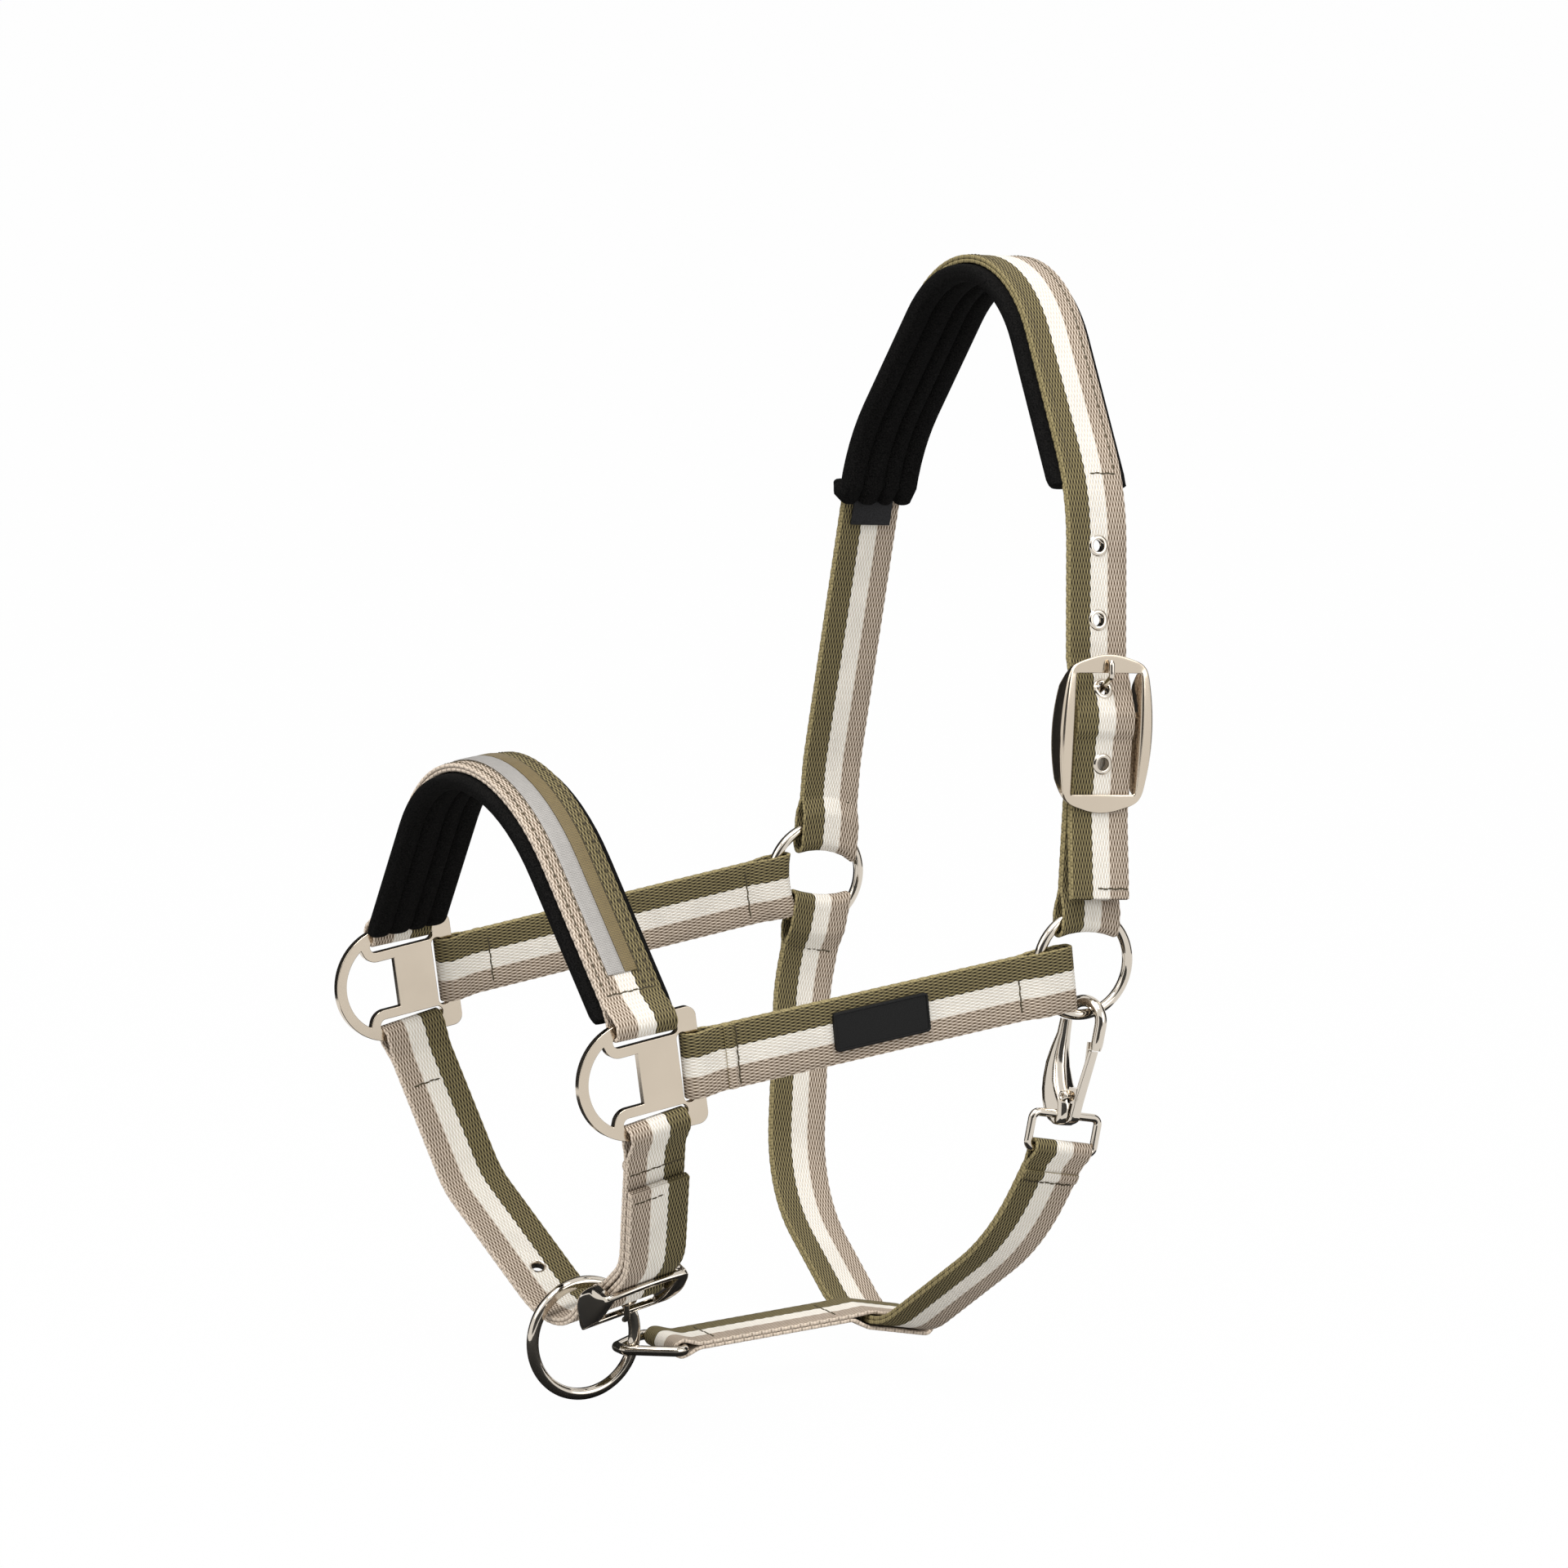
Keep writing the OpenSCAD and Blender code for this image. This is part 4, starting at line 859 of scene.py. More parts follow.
def buckle(name, plane, spot, size, node, finish):
    """A frame skinned all round between its outer line and its window, deep at the sides and thin at the ends."""
    half_l = (size["tip"] + size["tail"]) / 2 + size["end"]
    mid = (size["tip"] - size["tail"]) / 2
    floor_y = -BAR_R - BAR_SLACK
    outer = buckle_outline(half_l, BUCKLE_IN / 2 + BUCKLE_SIDE, SIDE_BOW, END_BOW, size["corner"])
    outer = paced(outer, 0.9, True, 4)
    inner = paced(buckle_outline(half_l - size["end"], BUCKLE_IN / 2, WINDOW_BOW, WINDOW_BOW, WINDOW_R), 0.2, True)
    turn = buckle_turn(plane, spot)
    rail = [(x - RAIL_CUT * max(0, -y) ** 2 * (x + 1) / 2, y) for x, y in soft_box(1, 1, 6, 36)]
    rings = []
    for o in outer:
        i = min(inner, key=lambda q: abs(q - o))
        share = min(1, abs(o.real) / half_l)
        front = size["crest"] - DOME * share ** 2
        flank = min(1, max(0, (abs(i.imag) - BUCKLE_IN / 2 + RAIL_SLIP) / RAIL_SLIP))
        near_end = (abs(o.real) - half_l + size["end"] + FLANK_CLEAR) / (size["end"] + FLANK_FADE)
        flank *= 1 - min(1, max(0, near_end))
        back = bar_back_y + (floor_y - bar_back_y) * flank * (1 - FLANK_RISE * share ** 2)
        wide, deep = (o - i) / 2, (front - back) / 2
        centre = (o + i) / 2
        rings.append([turn @ Vector((centre.real + wide.real * x + mid, back + deep * (1 + y),
                                     centre.imag + wide.imag * x)) for x, y in rail])
    bm = bmesh.new()
    skin(bm, rings, True)
    rod(bm, turn, BAR_R, BUCKLE_IN + 3)
    return piece(bm, name, finish, "collar", node, sharp=60)


def tongue(name, plane, spot, size, body, node):
    """A rod with a rolled eye at the bar, bent up through its eyelet and over on to the end bar."""
    turn = buckle_turn(plane, spot)
    knee = over_bar(size, size["tip"]) - TONGUE_D / 2
    tip = over_bar(size, size["tip"] + size["end"] * 0.7)
    line = paced(route([TONGUE_ROOT, size["low"], knee, tip], TONGUE_BENDS), TONGUE_PACE)
    frames = tapered(stations(line, turn), [(k, k) for k in (0.45, 0.75, 0.92)], start=False)
    bm = bmesh.new()
    sweep(bm, round_section(TONGUE_D / 2 - 0.05), frames)
    eye = arc(0, BAR_R + TONGUE_EYE_GAP + TONGUE_EYE_T / 2, 0, 345, 15)
    sweep(bm, soft_box(TONGUE_EYE_T / 2, TONGUE_EYE_W / 2), stations(eye, turn, True), True)
    return piece(bm, name, POLISHED, body, node, sharp=50)


buckle("crown_buckle_frame", crown_plane, crown_spot, crown_size, "crown_buckle", SATIN)
tongue("crown_buckle_tongue", crown_plane, crown_spot, crown_size, "crown_tongue", "crown_tongue")

# Side plates: the source's flat shapes with their edges rolled over

PLATE_RIM_R, PLATE_LEAD, RIM_TRIM, EDGE_ROLL = 17.9, 3.3, 0.6, 1.3


def side_plate(name, node):
    """A welded copy of a CAD plate with its D drawn a little finer and its edges rolled over."""
    bm = bmesh.new()
    bm.from_mesh(frame["nodes"][node].data)
    bmesh.ops.scale(bm, vec=(1 / MM,) * 3, verts=bm.verts[:])
    bmesh.ops.remove_doubles(bm, verts=bm.verts[:], dist=1e-3)
    bmesh.ops.dissolve_limit(bm, angle_limit=radians(1), verts=bm.verts[:], edges=bm.edges[:])
    for v in bm.verts:
        q = complex(v.co.y, v.co.z) - on_plate(-PLATE_LEAD)
        if abs(abs(q) - PLATE_RIM_R) < 0.06:
            v.co += RIM_TRIM * Vector((0, unit(q).real, unit(q).imag))
    sharp = [e for e in bm.edges if len(e.link_faces) == 2 and e.calc_face_angle() > radians(45)]
    bmesh.ops.bevel(bm, geom=sharp, offset=EDGE_ROLL, affect="EDGES", segments=5, profile=0.5, material=-1,
                    clamp_overlap=True)
    return even_flats(piece(bm, name, SATIN, "collar", node, sharp=40))


# Cheek straps

PLATE_Y, PLATE_Z, PLATE_PITCH = -210.5, -271, 8
PLATE_H, PLATE_BODY_L, PLATE_BAR, PLATE_SLOT, PLATE_T = 45.2, 25.6, 4.3, 4.8, 3
plate_bar_v = PLATE_H / 2 - PLATE_BAR / 2
slot_u = PLATE_BODY_L - PLATE_BAR - PLATE_SLOT - (WEB_W + 2) / 2 + 1
plate_loop = [hypot(PLATE_BAR, PLATE_T) / 2 + 0.2, BAR_SLACK]


def on_plate(q):
    """A point of the plates' own flat shape, in the plane of Y and Z."""
    return complex(PLATE_Y, PLATE_Z) + q * heading(PLATE_PITCH)


side_plate("near_side_plate", "near_plate")
side_plate("off_side_plate", "off_plate")
top_bar = on_plate(complex(slot_u, plate_bar_v))
bottom_bar = on_plate(complex(slot_u, -plate_bar_v))
rear_bar = on_plate(complex(PLATE_BODY_L - PLATE_BAR / 2, 0))


def cheek(side, ring_c, drop):
    """The cheek strap's plane and its length between the plate's bar and the ring's wire."""
    run = complex(ring_c.y, ring_c.z - drop) - rear_bar
    plane = Matrix.Translation((side * HALF_SPAN, rear_bar.real, rear_bar.imag))
    return plane @ Matrix.Rotation(cmath.phase(run), 4, "X"), abs(run) - RING_R


NEAR_CHEEK_DROP, OFF_CHEEK_DROP = 4, 1
near_cheek_plane, near_cheek_len = cheek(1, near_ring_c, NEAR_CHEEK_DROP)
off_cheek_plane, off_cheek_len = cheek(-1, off_ring_c, OFF_CHEEK_DROP)
near_cheek = Strap(near_cheek_plane, 1, [0j, 1j * near_cheek_len], [], plate_loop, ring_loop(NEAR_CHEEK_DROP, 0))
near_cheek.webbing("near_cheek_webbing", "near_cheek_strap")
off_cheek = Strap(off_cheek_plane, 1, [0j, 1j * off_cheek_len], [], plate_loop, ring_loop(OFF_CHEEK_DROP, 0))
off_cheek.cups.append((off_ring_c, -off_cheek_plane.col[1].xyz, 0.5))
off_cheek.webbing("off_cheek_webbing", "off_cheek_strap")

# Noseband

NOSE_TILT, NOSE_RISE, NOSE_PEAK, NOSE_PAD_T, NOSE_PAD_CLEAR = 6, 82, 126, 6.6, 4.5
RIBBON_W, TRIM_W, RIBBON_T, RIBBON_CLEAR, RIBBON_AHEAD = 7, 5.2, 0.6, 16, 2.8
nose_plane = stand((0, top_bar.real, top_bar.imag), NOSE_TILT)
nose_r = (NOSE_PEAK - NOSE_RISE) / (1 / cos(atan2(NOSE_PEAK, HALF_SPAN)) - 1)
nose_off, nose_top = complex(-HALF_SPAN, 0), complex(0, NOSE_PEAK)
nose_leg = unit(nose_top - nose_off)
noseband = Strap(nose_plane, -1, [nose_off, nose_top, complex(HALF_SPAN, 0)], [nose_r], plate_loop, plate_loop,
                 "webbing_beige")
noseband.webbing("noseband_webbing", "noseband_strap")


def nose_way(clear):
    """The noseband's middle way between two points at one height above the plates' bars."""
    start = nose_off + clear / nose_leg.imag * nose_leg
    return route([start, nose_top, complex(-start.real, start.imag)], [nose_r])


def tape(name, plane, way, width, off, aside, thick, finish, node):
    """A narrow tape sewn on a strap's face, with its ends turned under."""
    bm = bmesh.new()
    line = paced(beside(way, off), PACE)
    frames = [f @ Matrix.Translation((0, aside, 0)) for f in stations(line, plane)]
    half = width / 2
    top = [(thick / 2 * (1 - 0.3 * abs(k) ** 3), half * k) for k in (-0.94, -0.6, -0.3, 0, 0.3, 0.6, 0.94)]
    section = top + [(0, half)] + [(-thick / 2, -y) for _, y in top] + [(0, -half)]
    sweep(bm, section, tapered(frames, ((0.5, 1), (0.85, 1))))
    return piece(bm, name, finish, "collar", node, sharp=50)


RIBBON_MID = LAYER + LAY_GAP / 3 + RIBBON_T / 2
tape("noseband_silver_ribbon", nose_plane, nose_way(RIBBON_CLEAR), RIBBON_W, RIBBON_MID, RIBBON_AHEAD, RIBBON_T,
     RIBBON, "noseband_ribbon")
TRIM_AHEAD = RIBBON_AHEAD - (RIBBON_W + TRIM_W) / 2 - LAY_GAP / 3
tape("noseband_gold_braid", nose_plane, nose_way(RIBBON_CLEAR), TRIM_W, RIBBON_MID, TRIM_AHEAD, RIBBON_T, TRIM,
     "noseband_trim")

# Chin strap

CHIN_TILT, CHIN_BEND_X, CHIN_BEND_DROP, CHIN_DEPTH, CHIN_R, CHIN_SIDE_R = 12, 74, 57, 103, 42, 24
CHIN_BUCKLE_AT, CHIN_TAIL = 31, 41
chin_plane = stand((0, bottom_bar.real, bottom_bar.imag), CHIN_TILT)
chin_off, chin_near = complex(-HALF_SPAN, 0), complex(HALF_SPAN, 0)
chin_off_bend, chin_near_bend = complex(-CHIN_BEND_X, -CHIN_BEND_DROP), complex(CHIN_BEND_X, -CHIN_BEND_DROP)
chin_low = complex(0, -CHIN_DEPTH)
chin_leg = unit(chin_low - chin_near_bend)
chin_upper = unit(chin_near_bend - chin_near)
chin_spot = (chin_near_bend + CHIN_BUCKLE_AT * chin_leg, chin_leg, 1j * chin_leg)
chin_weave = [in_buckle(chin_spot, q) for q in weave]
chin_tail_bend = moved_corner(chin_spot[0], chin_near_bend, chin_near, -tail_y)
chin_tail_end = chin_tail_bend - CHIN_TAIL * chin_upper
chin_points = [chin_off, chin_off_bend, chin_low] + chin_weave + [chin_tail_bend, chin_tail_end]
chin_bends = [CHIN_SIDE_R, CHIN_R] + weave_bends + [CHIN_SIDE_R + tail_y]
chin_off_leg = unit(chin_low - chin_off_bend)
chin_eyelets = [
    (in_buckle(chin_spot, eyelet_spot(chin_size)), 1j * unit(chin_weave[0] - chin_weave[1])),
    (in_buckle(chin_spot, complex(EYELET_FLANGE + LAY_GAP - chin_size["tail"], tail_y)), chin_spot[2]),
    (chin_low - EYELET_PITCH * 1.25 * chin_off_leg, -1j * chin_off_leg)]
chin = Strap(chin_plane, -1, chin_points, chin_bends, plate_loop, [], "webbing_beige")
chin.webbing("chin_webbing", "chin_strap", eyelet_holes(chin_plane, chin_eyelets))
eyelets("chin_eyelet_set", chin_plane, chin_eyelets, "chin_eyelets")
chin_chape = Strap(chin_plane, -1, [chin_near, chin_near_bend, chin_spot[0]], [CHIN_SIDE_R], plate_loop,
                   [BAR_R, BAR_SLACK / 5], "webbing_beige")
chin_chape.webbing("chin_chape_webbing", "chin_chape", tongue_slot(chin_plane, chin_spot))
buckle("chin_buckle_frame", chin_plane, chin_spot, chin_size, "chin_buckle", POLISHED)
tongue("chin_buckle_tongue", chin_plane, chin_spot, chin_size, "chin_tongue", "chin_tongue")

CHIN_RING_R, CHIN_RING_WIRE = 21.9, 4.7
ring_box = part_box("chin_ring")
chin_ring_c = Vector([(a + b) / 2 / MM for a, b in zip(*ring_box)])
ring("chin_lead_ring", chin_ring_c, CHIN_RING_R, CHIN_RING_WIRE, "chin_ring")

# Jaw link and strap

LINK_DEPTH, LINK_BASE, LINK_WIRE, LINK_TIP, LINK_BENDS = 21, 26, 4, 6.4, [3, 4, 2, 2, 4, 3]
link_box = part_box("jaw_link")
link_bar = Vector((0, link_box[1][1] / MM - LINK_WIRE / 2, (link_box[0][2] + link_box[1][2]) / 2 / MM))
link_half = LINK_BASE / 2 + LINK_WIRE / 2
link_shoulder = LINK_WIRE / 2 + LOOP_GAP + LAYER + BAR_SLACK + LAY_GAP


def wire_loop(name, plane, corners, bends, wire, body, node):
    """A closed loop of round wire with bent corners."""
    bm = bmesh.new()
    line = closed_route(corners, bends)
    line = [p for i, p in enumerate(line) if abs(p - line[i - 1]) > 0.05]
    sweep(bm, round_section(wire / 2), stations(line, plane, True), True)
    return piece(bm, name, POLISHED, body, node)


link_side = [complex(LINK_TIP / 2, -LINK_DEPTH), complex(link_half, -link_shoulder), complex(link_half, 0)]
wire_loop("jaw_wire_link", Matrix.Translation(link_bar), mirrored(link_side) + link_side, LINK_BENDS, LINK_WIRE,
          "jaw_link", "jaw_link")

# Throat strap

THROAT_TILT, THROAT_YAW, THROAT_SET = 12, 1.5, 3.6
THROAT_BEND_X, THROAT_BEND_DROP, THROAT_DROP, THROAT_FLAT = 22, 124, 158, 38
THROAT_NEAR_RISE, THROAT_NEAR_IN = 47, 18
THROAT_SIDE_R, THROAT_LOW_R, THROAT_NEAR_R = 65, 30, 85
SNAP_REACH, EYE_W, EYE_H, EYE_WIRE, EYE_BEND = 39, 26.4, 10.5, 3.2, 2.6
throat_turn = stand((0, 0, 0), -THROAT_TILT, THROAT_YAW)
throat_across, throat_up, throat_back = throat_turn.col[0].xyz, throat_turn.col[1].xyz, -throat_turn.col[2].xyz
throat_at = off_ring_c + THROAT_SET * throat_back
throat_plane = stand(throat_at, -THROAT_TILT, THROAT_YAW)
to_near = near_ring_c - throat_at
throat_span = to_near.dot(throat_across)
near_wire_v = to_near.dot(throat_up) - sqrt(RING_R ** 2 - to_near.dot(throat_back) ** 2)
throat_mid = throat_span / 2
eye_bar = complex(throat_span, near_wire_v - SNAP_REACH)
eye_low = eye_bar - 1j * (EYE_H + EYE_WIRE)
throat_start = -1j * RING_R
throat_points = [throat_start, throat_start - 1j * RING_LEG, complex(THROAT_BEND_X, -THROAT_BEND_DROP),
                 complex(throat_mid - THROAT_FLAT / 2, -THROAT_DROP),
                 complex(throat_mid + THROAT_FLAT / 2, -THROAT_DROP),
                 complex(throat_span - THROAT_NEAR_IN, -THROAT_DROP + THROAT_NEAR_RISE), eye_low]
throat_bends = [LEG_R, THROAT_SIDE_R, THROAT_LOW_R, THROAT_LOW_R, THROAT_NEAR_R]
throat_ease = WEB_HALF * sin(radians(THROAT_YAW))
throat = Strap(throat_plane, 1, throat_points, throat_bends, ring_loop(THROAT_SET, throat_ease),
               [EYE_WIRE / 2, BAR_SLACK])
throat.cups.append((off_ring_c, -throat_up, 0.35))
throat.webbing("throat_webbing", "throat_strap")

# Jaw strap: from the link to a loop round the throat strap

JAW_EASE, MOUTH_SET = 2, 3
throat_low_c = throat_plane @ flat(complex(throat_mid, -THROAT_DROP))
jaw_end = complex(throat_low_c.y, throat_low_c.z)
jaw_loop_l = WEB_W + 2 * LOOP_GAP + JAW_EASE
jaw_loop_h = WEB_T + 2 * LOOP_GAP + WEB_W * sin(radians(THROAT_YAW))
jaw_plane = Matrix(((0, 0, 1, 0), (1, 0, 0, 0), (0, 1, 0, 0), (0, 0, 0, 1)))
jaw_front = complex(link_bar.y, link_bar.z)
loop_dir = heading(-THROAT_TILT)
half_h = (jaw_loop_h + LAYER) / 2
cap = arc(complex(jaw_loop_l / 2, 0), half_h, 90, -90, 10)
loop_start = JAW_EASE - jaw_loop_l / 2
loop_line = [complex(loop_start, half_h)] + cap + [complex(loop_start, -half_h)]
loop_line = [jaw_end + q * loop_dir for q in loop_line]
mouth = jaw_end - ((jaw_loop_l + jaw_loop_h) / 2 + MOUTH_SET) * loop_dir
jaw_dir = unit(mouth - jaw_front)
jaw_loop = [LINK_WIRE / 2, BAR_SLACK]
jaw = Strap(jaw_plane, -1, [jaw_front, mouth], [], jaw_loop, [])
jaw_sides = beside(jaw.way, LAYER / 2), beside(jaw.way, -LAYER / 2)[::-1]
jaw.layer = end_path(jaw_loop, jaw_front, jaw_dir) + jaw_sides[0] + loop_line + jaw_sides[1]
jaw.webbing("jaw_webbing", "jaw_strap")

# Pads: crowned fleece with sewn channels

PAD_SEAMS = (-1, -0.46, -0.04, 0.5, 1)
PAD_ENDS = (0.72, 0.97), (0.9, 0.98), (0.97, 0.99)
PAD_PACE, PAD_FILL = 1.5, 0.7


def pad_section(width, thick):
    """A pad seen end on: flat against the strap, rolled at its edges, quilted inside between its seams."""
    half = width / 2
    outer = [(-0.15, half * k) for k in (-0.86, -0.6, -0.3, 0, 0.3, 0.6, 0.86)]
    lip = [(-0.5, half * 0.96), (-0.24 * thick, half), (-0.45 * thick, half * 0.995), (-0.66 * thick, half * 0.96)]
    inner = []
    for right, left in zip(PAD_SEAMS[::-1], PAD_SEAMS[-2::-1]):
        for i in range(7):
            t = i / 7
            k = right + (left - right) * t
            if abs(k) < 0.93:
                quilt = 1 - abs(2 * t - 1) ** 2.6
                inner.append((-thick * (0.74 + 0.26 * quilt * (1 - 0.3 * abs(k) ** 4)), half * k))
    return outer + lip + inner + [(x, -y) for x, y in reversed(lip)]


def pad(name, plane, way, thick, node):
    """A fleece pad along the inside of a strap's way, thinned at its ends."""
    bm = bmesh.new()
    line = paced(beside(way, -LAYER - LAY_GAP), PAD_PACE)
    frames = tapered(stations(line, plane), PAD_ENDS)
    sweep(bm, pad_section(WEB_W + 2 * PAD_MARGIN, thick), frames)
    obj = piece(bm, name, FLEECE, "collar", node, sharp=60)
    return obj


CROWN_PAD_NEAR, CROWN_PAD_OFF = 66, 87
pad_off_end = off_shoulder - (CROWN_PAD_OFF - SHOULDER_DROP) / off_leg_dir.imag * off_leg_dir
slope_dir = unit(near_shoulder - crown_top)
pad_near_end = near_shoulder + (SHOULDER_DROP - CROWN_PAD_NEAR) / slope_dir.imag * slope_dir
crown_pad_way = route([pad_off_end, off_shoulder, crown_top, pad_near_end], [SHOULDER_R, crown_r])
pad("crown_fleece_pad", crown_plane, crown_pad_way, CROWN_PAD_T, "crown_pad")
pad("noseband_fleece_pad", nose_plane, nose_way(NOSE_PAD_CLEAR), NOSE_PAD_T, "noseband_pad")

# Badge and label

BADGE_LEN, BADGE_H, BADGE_T, BADGE_AT, BADGE_CORNER = 40.5, 15, 1.4, 78, 1.5
# Steps in from the badge's edge, each an inset and a lift: the rim, its top, the groove and the face
BADGE_STEPS = (0.3, 0.12), (0.45, 0.0), (0.2, -0.35), (0.25, 0.12)
LABEL_L, LABEL_W, LABEL_T, LABEL_EDGE = 17.5, 17.5, 1, 0.35


def badge():
    """A bare rubber badge: a slab with a raised rim and a sewn groove."""
    bm = bmesh.new()
    place = near_cheek_plane @ Matrix.Translation((LAYER + LAY_GAP / 3 + BADGE_T / 2, BADGE_AT, 0))
    block(bm, place, BADGE_T, BADGE_LEN, BADGE_H)
    corners = [e for e in bm.edges if abs((e.verts[0].co - e.verts[1].co).x) > BADGE_T / 2]
    bmesh.ops.bevel(bm, geom=corners, offset=BADGE_CORNER, affect="EDGES", segments=4, profile=0.5, material=-1)
    front = max(bm.faces, key=lambda f: f.calc_center_median().x)
    for inset, lift in BADGE_STEPS:
        bmesh.ops.inset_region(bm, faces=[front], thickness=inset, depth=0, use_even_offset=True)
        bmesh.ops.translate(bm, vec=(lift, 0, 0), verts=front.verts[:])
    return even_flats(piece(bm, "cheek_rubber_badge", RUBBER, "collar", "cheek_badge", sharp=35))


def label():
    """A bare woven tag with softly rounded edges."""
    at = off_shoulder - (CROWN_PAD_OFF - SHOULDER_DROP + LABEL_L) / off_leg_dir.imag * off_leg_dir
    place = crown_plane @ Matrix.Translation(flat(at)) @ Matrix.Rotation(cmath.phase(off_leg_dir), 4, "Z")
    place = place @ Matrix.Translation(((LABEL_L - LAY_GAP) / 2, -LAYER - LAY_GAP - LABEL_T / 2, 0))
    bm = bmesh.new()
    block(bm, place, LABEL_L - LAY_GAP, LABEL_T, LABEL_W)
    bmesh.ops.bevel(bm, geom=bm.edges[:], offset=LABEL_EDGE, affect="EDGES", segments=3, profile=0.5, material=-1)
    return piece(bm, "crown_bare_label", LABEL, "collar", "crown_label", sharp=50)


badge()
label()

# Snap hook

snap_plane = throat_plane @ Matrix.Translation(flat(eye_bar))
eye_half, eye_drop = EYE_W / 2 + EYE_WIRE / 2, EYE_H + EYE_WIRE
wire_loop("snap_wire_eye", snap_plane @ Matrix.Rotation(radians(90), 4, "Y"),
          [complex(-eye_half, 0), complex(-eye_half, -eye_drop), complex(eye_half, -eye_drop), complex(eye_half, 0)],
          [EYE_BEND] * 4, EYE_WIRE, "collar", "snap_eye")
HOOK_R, HOOK_WIRE_R, HOOK_TIP, HOOK_EASE, HOOK_TURN = 8, 2.3, 9.5, 0.75, 22
RIVET_R, RIVET_OUT = 1.3, 5.3
FORK_AT, FORK_SIZE = (6.4, 9, 0), (12, 22, 7.4)
GATE_HALF_T, GATE_FOOT, GATE_NARROWS, GATE_SET = 0.9, 2.9, 0.7, 0.5
GATE_LINE, GATE_BENDS = [complex(1.2, -3.4), complex(4.2, -1.6), complex(4.7, 5)], [1.6, 30]
GATE_TOP = complex(0.6, 0.6)
GATE_EYE_R, GATE_EYE_L, GATE_WEB_AT, GATE_WEB = 2.7, 6, (2.2, 0.6, 0), (3.6, 6, 5.6)
hook_plane = snap_plane @ Matrix.Rotation(radians(HOOK_TURN), 4, "Y")
hook_c = complex(0, SNAP_REACH + RING_WIRE / 2 + HOOK_EASE - HOOK_R + HOOK_WIRE_R)
rivet_at = complex(0.6, 7.4)
# Height, back edge, front edge, half thickness and squareness of the snap's body, from its hook down to its base
SNAP_SLICES = ((35.6, -10.3, -5.7, 2.3, 2), (30, -10.4, -5.4, 2.5, 2.2), (24, -11.8, -4.8, 3.0, 2.5),
               (18, -12.6, -3.4, 3.7, 2.8), (12, -12.2, -1.0, 4.6, 3.2), (8, -11.4, 1.4, 5.2, 3.6),
               (4, -10.0, 3.2, 5.5, 4), (0, -8.0, 3.6, 5.5, 4), (-2.6, -5.6, 2.6, 5.4, 4), (-3.9, -2.8, 0.9, 5.0, 3))


def snap_body():
    """A cast hook whose round wire spreads into a broad forked base."""
    bm = bmesh.new()
    hook = arc(hook_c, HOOK_R, 180, 0) + [hook_c + complex(HOOK_R, -k * HOOK_TIP / 6) for k in range(1, 7)]
    frames = tapered(stations(hook, hook_plane), [(k, k) for k in (0.82, 0.95)], start=False)
    sweep(bm, round_section(HOOK_WIRE_R, 20), frames)
    rings = []
    for y, back, front, half, power in SNAP_SLICES:
        rings.append([hook_plane @ Vector(((back + front) / 2 + (front - back) / 2 * x, y, half * z))
                      for x, z in soft_box(1, 1, power, 28)])
    skin(bm, rings)
    obj = piece(bm, "snap_cast_body", POLISHED, "snap", "snap_body", sharp=50)
    fork = bmesh.new()
    block(fork, hook_plane @ Matrix.Translation(FORK_AT), *FORK_SIZE)
    cut_away(obj, fork)


def snap_gate():
    """A strip of folded sheet that leans from the base up to the hook's tip, with a lip inside the tip."""
    bm = bmesh.new()
    tip = hook_c + complex(HOOK_R, -HOOK_TIP)
    way = paced(route(GATE_LINE + [tip - GATE_TOP], GATE_BENDS), 1.2)
    rings = []
    for k, f in enumerate(stations(way, hook_plane)):
        half = GATE_FOOT - GATE_NARROWS * k / len(way)
        rings.append([f @ Vector((x + GATE_SET, y, 0)) for x, y in soft_box(GATE_HALF_T, half, 8, 28)])
    skin(bm, rings)
    lip = paced([tip - complex(2.6, 5), tip - complex(HOOK_WIRE_R + 1, -2.6)], 1)
    sweep(bm, soft_box(0.5, 1.5, 6), stations(lip, hook_plane))
    eye = hook_plane @ Matrix.Translation(flat(rivet_at))
    rod(bm, eye, GATE_EYE_R, GATE_EYE_L, 32)
    block(bm, eye @ Matrix.Translation(GATE_WEB_AT), *GATE_WEB)
    piece(bm, "snap_folded_gate", POLISHED, "snap_gate", "snap_gate", sharp=40)


def snap_rivet():
    """A hollow rivet with rolled heads."""
    bm = bmesh.new()
    out = RIVET_OUT
    half = [(0.55, 0), (0.6, out), (0.85, out + 0.45), (1.4, out + 0.6), (1.95, out + 0.3), (2.1, out - 0.2),
            (RIVET_R, out - 0.3)]
    spun(bm, hook_plane @ Matrix.Translation(flat(rivet_at)), half + [(r, -z) for r, z in half[:0:-1]], 24)
    piece(bm, "snap_hollow_rivet", POLISHED, "snap", "snap_rivet", sharp=50)


snap_body()
snap_gate()
snap_rivet()
spring = frame["nodes"]["snap_spring"]
spring.data.materials.clear()
spring.data.materials.append(STEEL)

# Stitching: the pads' long seams, and the seams across the straps' ends

ROW_INSET = 3


def run_to(strap, point):
    """How far along a strap's middle way a point lies."""
    line = paced(strap.way, 0.25)
    k = min(range(len(line)), key=lambda i: abs(line[i] - point))
    return k / (len(line) - 1) * length_of(strap.way)


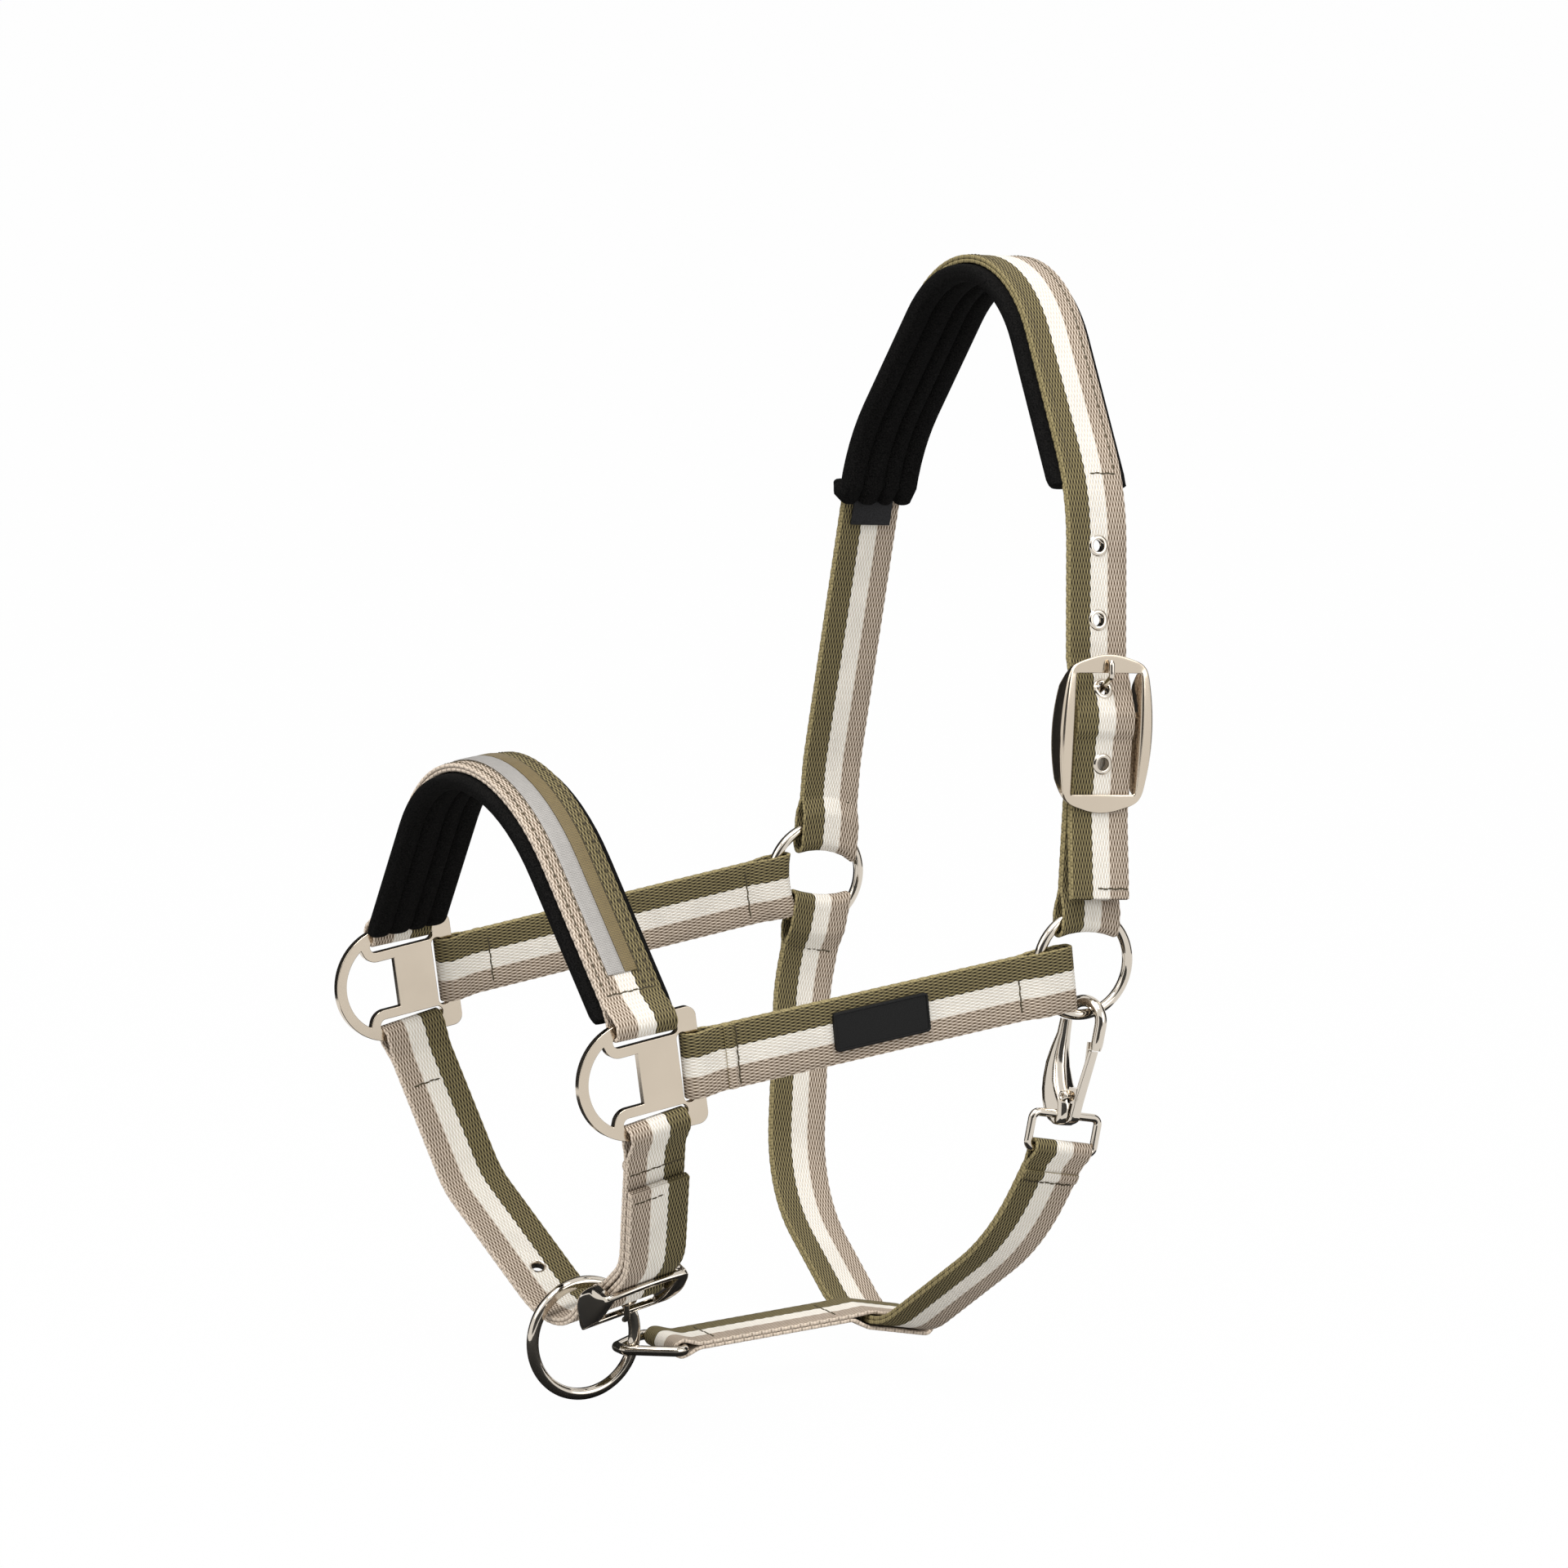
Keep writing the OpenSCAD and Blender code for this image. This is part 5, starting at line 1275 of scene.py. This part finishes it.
crown_row = run_to(crown, pad_off_end) + ROW_INSET, run_to(crown, pad_near_end) - ROW_INSET
nose_row = run_to(noseband, nose_way(NOSE_PAD_CLEAR)[0]) + ROW_INSET
sewn("crown_stitching", crown, "crown_strap", rows=[(*crown_row, k, 1) for k in (-0.76, 0.76)],
     crosses=[(crown_row[1], -0.78, 0.1, 1), (crown_row[0], -0.78, 0.78, 1)],
     through=[(1.5, -0.7, 0.7), (-4.5, -0.95, 0.1)])
sewn("chape_stitching", chape, "buckle_chape", crosses=[(6, -0.7, 0.7, -1)])
sewn("near_cheek_stitching", near_cheek, "near_cheek_strap", through=[(7.5, -0.9, 0.9), (-1.5, -0.72, 0.3)])
sewn("off_cheek_stitching", off_cheek, "off_cheek_strap", through=[(7.5, -0.72, 0.7), (-4.5, -0.72, 0.7)])
sewn("noseband_stitching", noseband, "noseband_strap",
     rows=[(nose_row, -nose_row, k, 1) for k in (-0.82, -0.52, 0.55, 0.82)],
     crosses=[(nose_row, -0.8, 0.8, 1), (-nose_row, -0.8, 0.8, 1)])
sewn("chin_stitching", chin, "chin_strap", through=[(12, -0.2, 0.7), (-5, -0.1, 0.9)])
sewn("chin_chape_stitching", chin_chape, "chin_chape", through=[(8, -0.9, 0.9)])
sewn("throat_stitching", throat, "throat_strap", through=[(1.5, -0.7, 0.7), (-8, -0.85, 0.85)])
sewn("jaw_stitching", jaw, "jaw_strap", through=[(8, -0.7, 0.7), (-6, -0.7, 0.7)])
turned_end("near_cheek_turned_end", near_cheek, "near_cheek_strap", 2.5, 6.5, -1)
turned_end("off_cheek_turned_end", off_cheek, "off_cheek_strap", 2.5, 6.5, 1)
turned_end("chin_chape_turned_end", chin_chape, "chin_chape", 3, 7, -1)
turned_end("throat_turned_end", throat, "throat_strap", -7, -3, -1)

# Floor, light and background

FLOOR_DROP, FLOOR_HALF, FLOOR_GREY, FLOOR_WHITE = 0.002, 30, 0.6, 0.985
SKY_LEVEL = 0.58
BLACK_CARD, GREY_CARD = 0.01, 0.12


def seen_white(n):
    """1 for the rays that should meet a plain white surround."""
    path = n.node("LightPath").outputs
    seen = n.sum("MAXIMUM", path["Is Camera Ray"], path["Is Glossy Ray"])
    return n.sum("MAXIMUM", seen, path["Is Transmission Ray"])


def stage_sheet(name, material, half, place):
    """A flat sheet of the stage."""
    bm = bmesh.new()
    bmesh.ops.create_grid(bm, x_segments=1, y_segments=1, size=half, matrix=place)
    obj = added(name, mesh_from(bm, name))
    obj.data.materials.append(material)
    return obj


def floor():
    """A pale floor that shows white and keeps the object's shadow."""
    material = bpy.data.materials.new("pale_floor")
    n = Nodes(material)
    n.tree.nodes.clear()
    lit = n.node("BsdfDiffuse", grey(FLOOR_GREY))
    share = n.sum("MULTIPLY", seen_white(n), FLOOR_WHITE)
    n.node("OutputMaterial", n.node("MixShader", share, lit, n.node("Emission")))
    stage_sheet("floor", material, FLOOR_HALF, Matrix.Translation((0, 0, cad_box[0].z - FLOOR_DROP)))


def world(level):
    """An even sky of this level that shows white."""
    scene.world = bpy.data.worlds.new("studio")
    n = Nodes(scene.world)
    sky = n.tree.nodes["Background"].inputs
    sky["Color"].default_value = grey(1)
    rise = n.node("MapRange")
    n.feed(seen_white(n), rise.inputs["Value"])
    rise.inputs["To Min"].default_value = level
    rise.inputs["To Max"].default_value = 1.0
    n.feed(rise.outputs["Result"], sky["Strength"])


def lamp(name, azimuth, elevation, distance, size, power):
    """A round soft lamp; degrees, metres and watts."""
    light = bpy.data.lights.new(name, "AREA")
    light.shape, light.size, light.energy = "DISK", size, power
    stood_off(added(name, light), azimuth, elevation, distance)


def dark_card(name, azimuth, elevation, distance, width, height, shade=BLACK_CARD):
    """A dark screen out of view that only polished metal sees."""
    out = way_out(azimuth, elevation)
    turn = out.to_track_quat("Z", "Y").to_matrix().to_4x4()
    place = Matrix.Translation(aim + distance * out) @ turn @ Matrix.Diagonal((width, height, 1, 1))
    card = stage_sheet(name, Finish(name, Base_Color=grey(shade), Roughness=1).material, 0.5, place)
    card.visible_camera = card.visible_diffuse = card.visible_shadow = card.visible_transmission = False


floor()
world(SKY_LEVEL)
lamp("top_light", 50, 66, 2.2, 1.5, 51)
lamp("fill_light", 112, 22, 2.8, 1.8, 14)
lamp("front_light", 5, 35, 2.8, 1.6, 13)
dark_card("camera_side_screen", 61.5, 10, 4.2, 5.4, 2.4, GREY_CARD)
dark_card("front_screen", -80, 4, 0.5, 1.0, 1.1)
dark_card("back_screen", 176, 8, 1.2, 0.9, 1.3)
dark_card("floor_screen", 61.5, -90, aim.z - cad_box[0].z, 0.6, 0.6)
scene.view_settings.view_transform = "Standard"
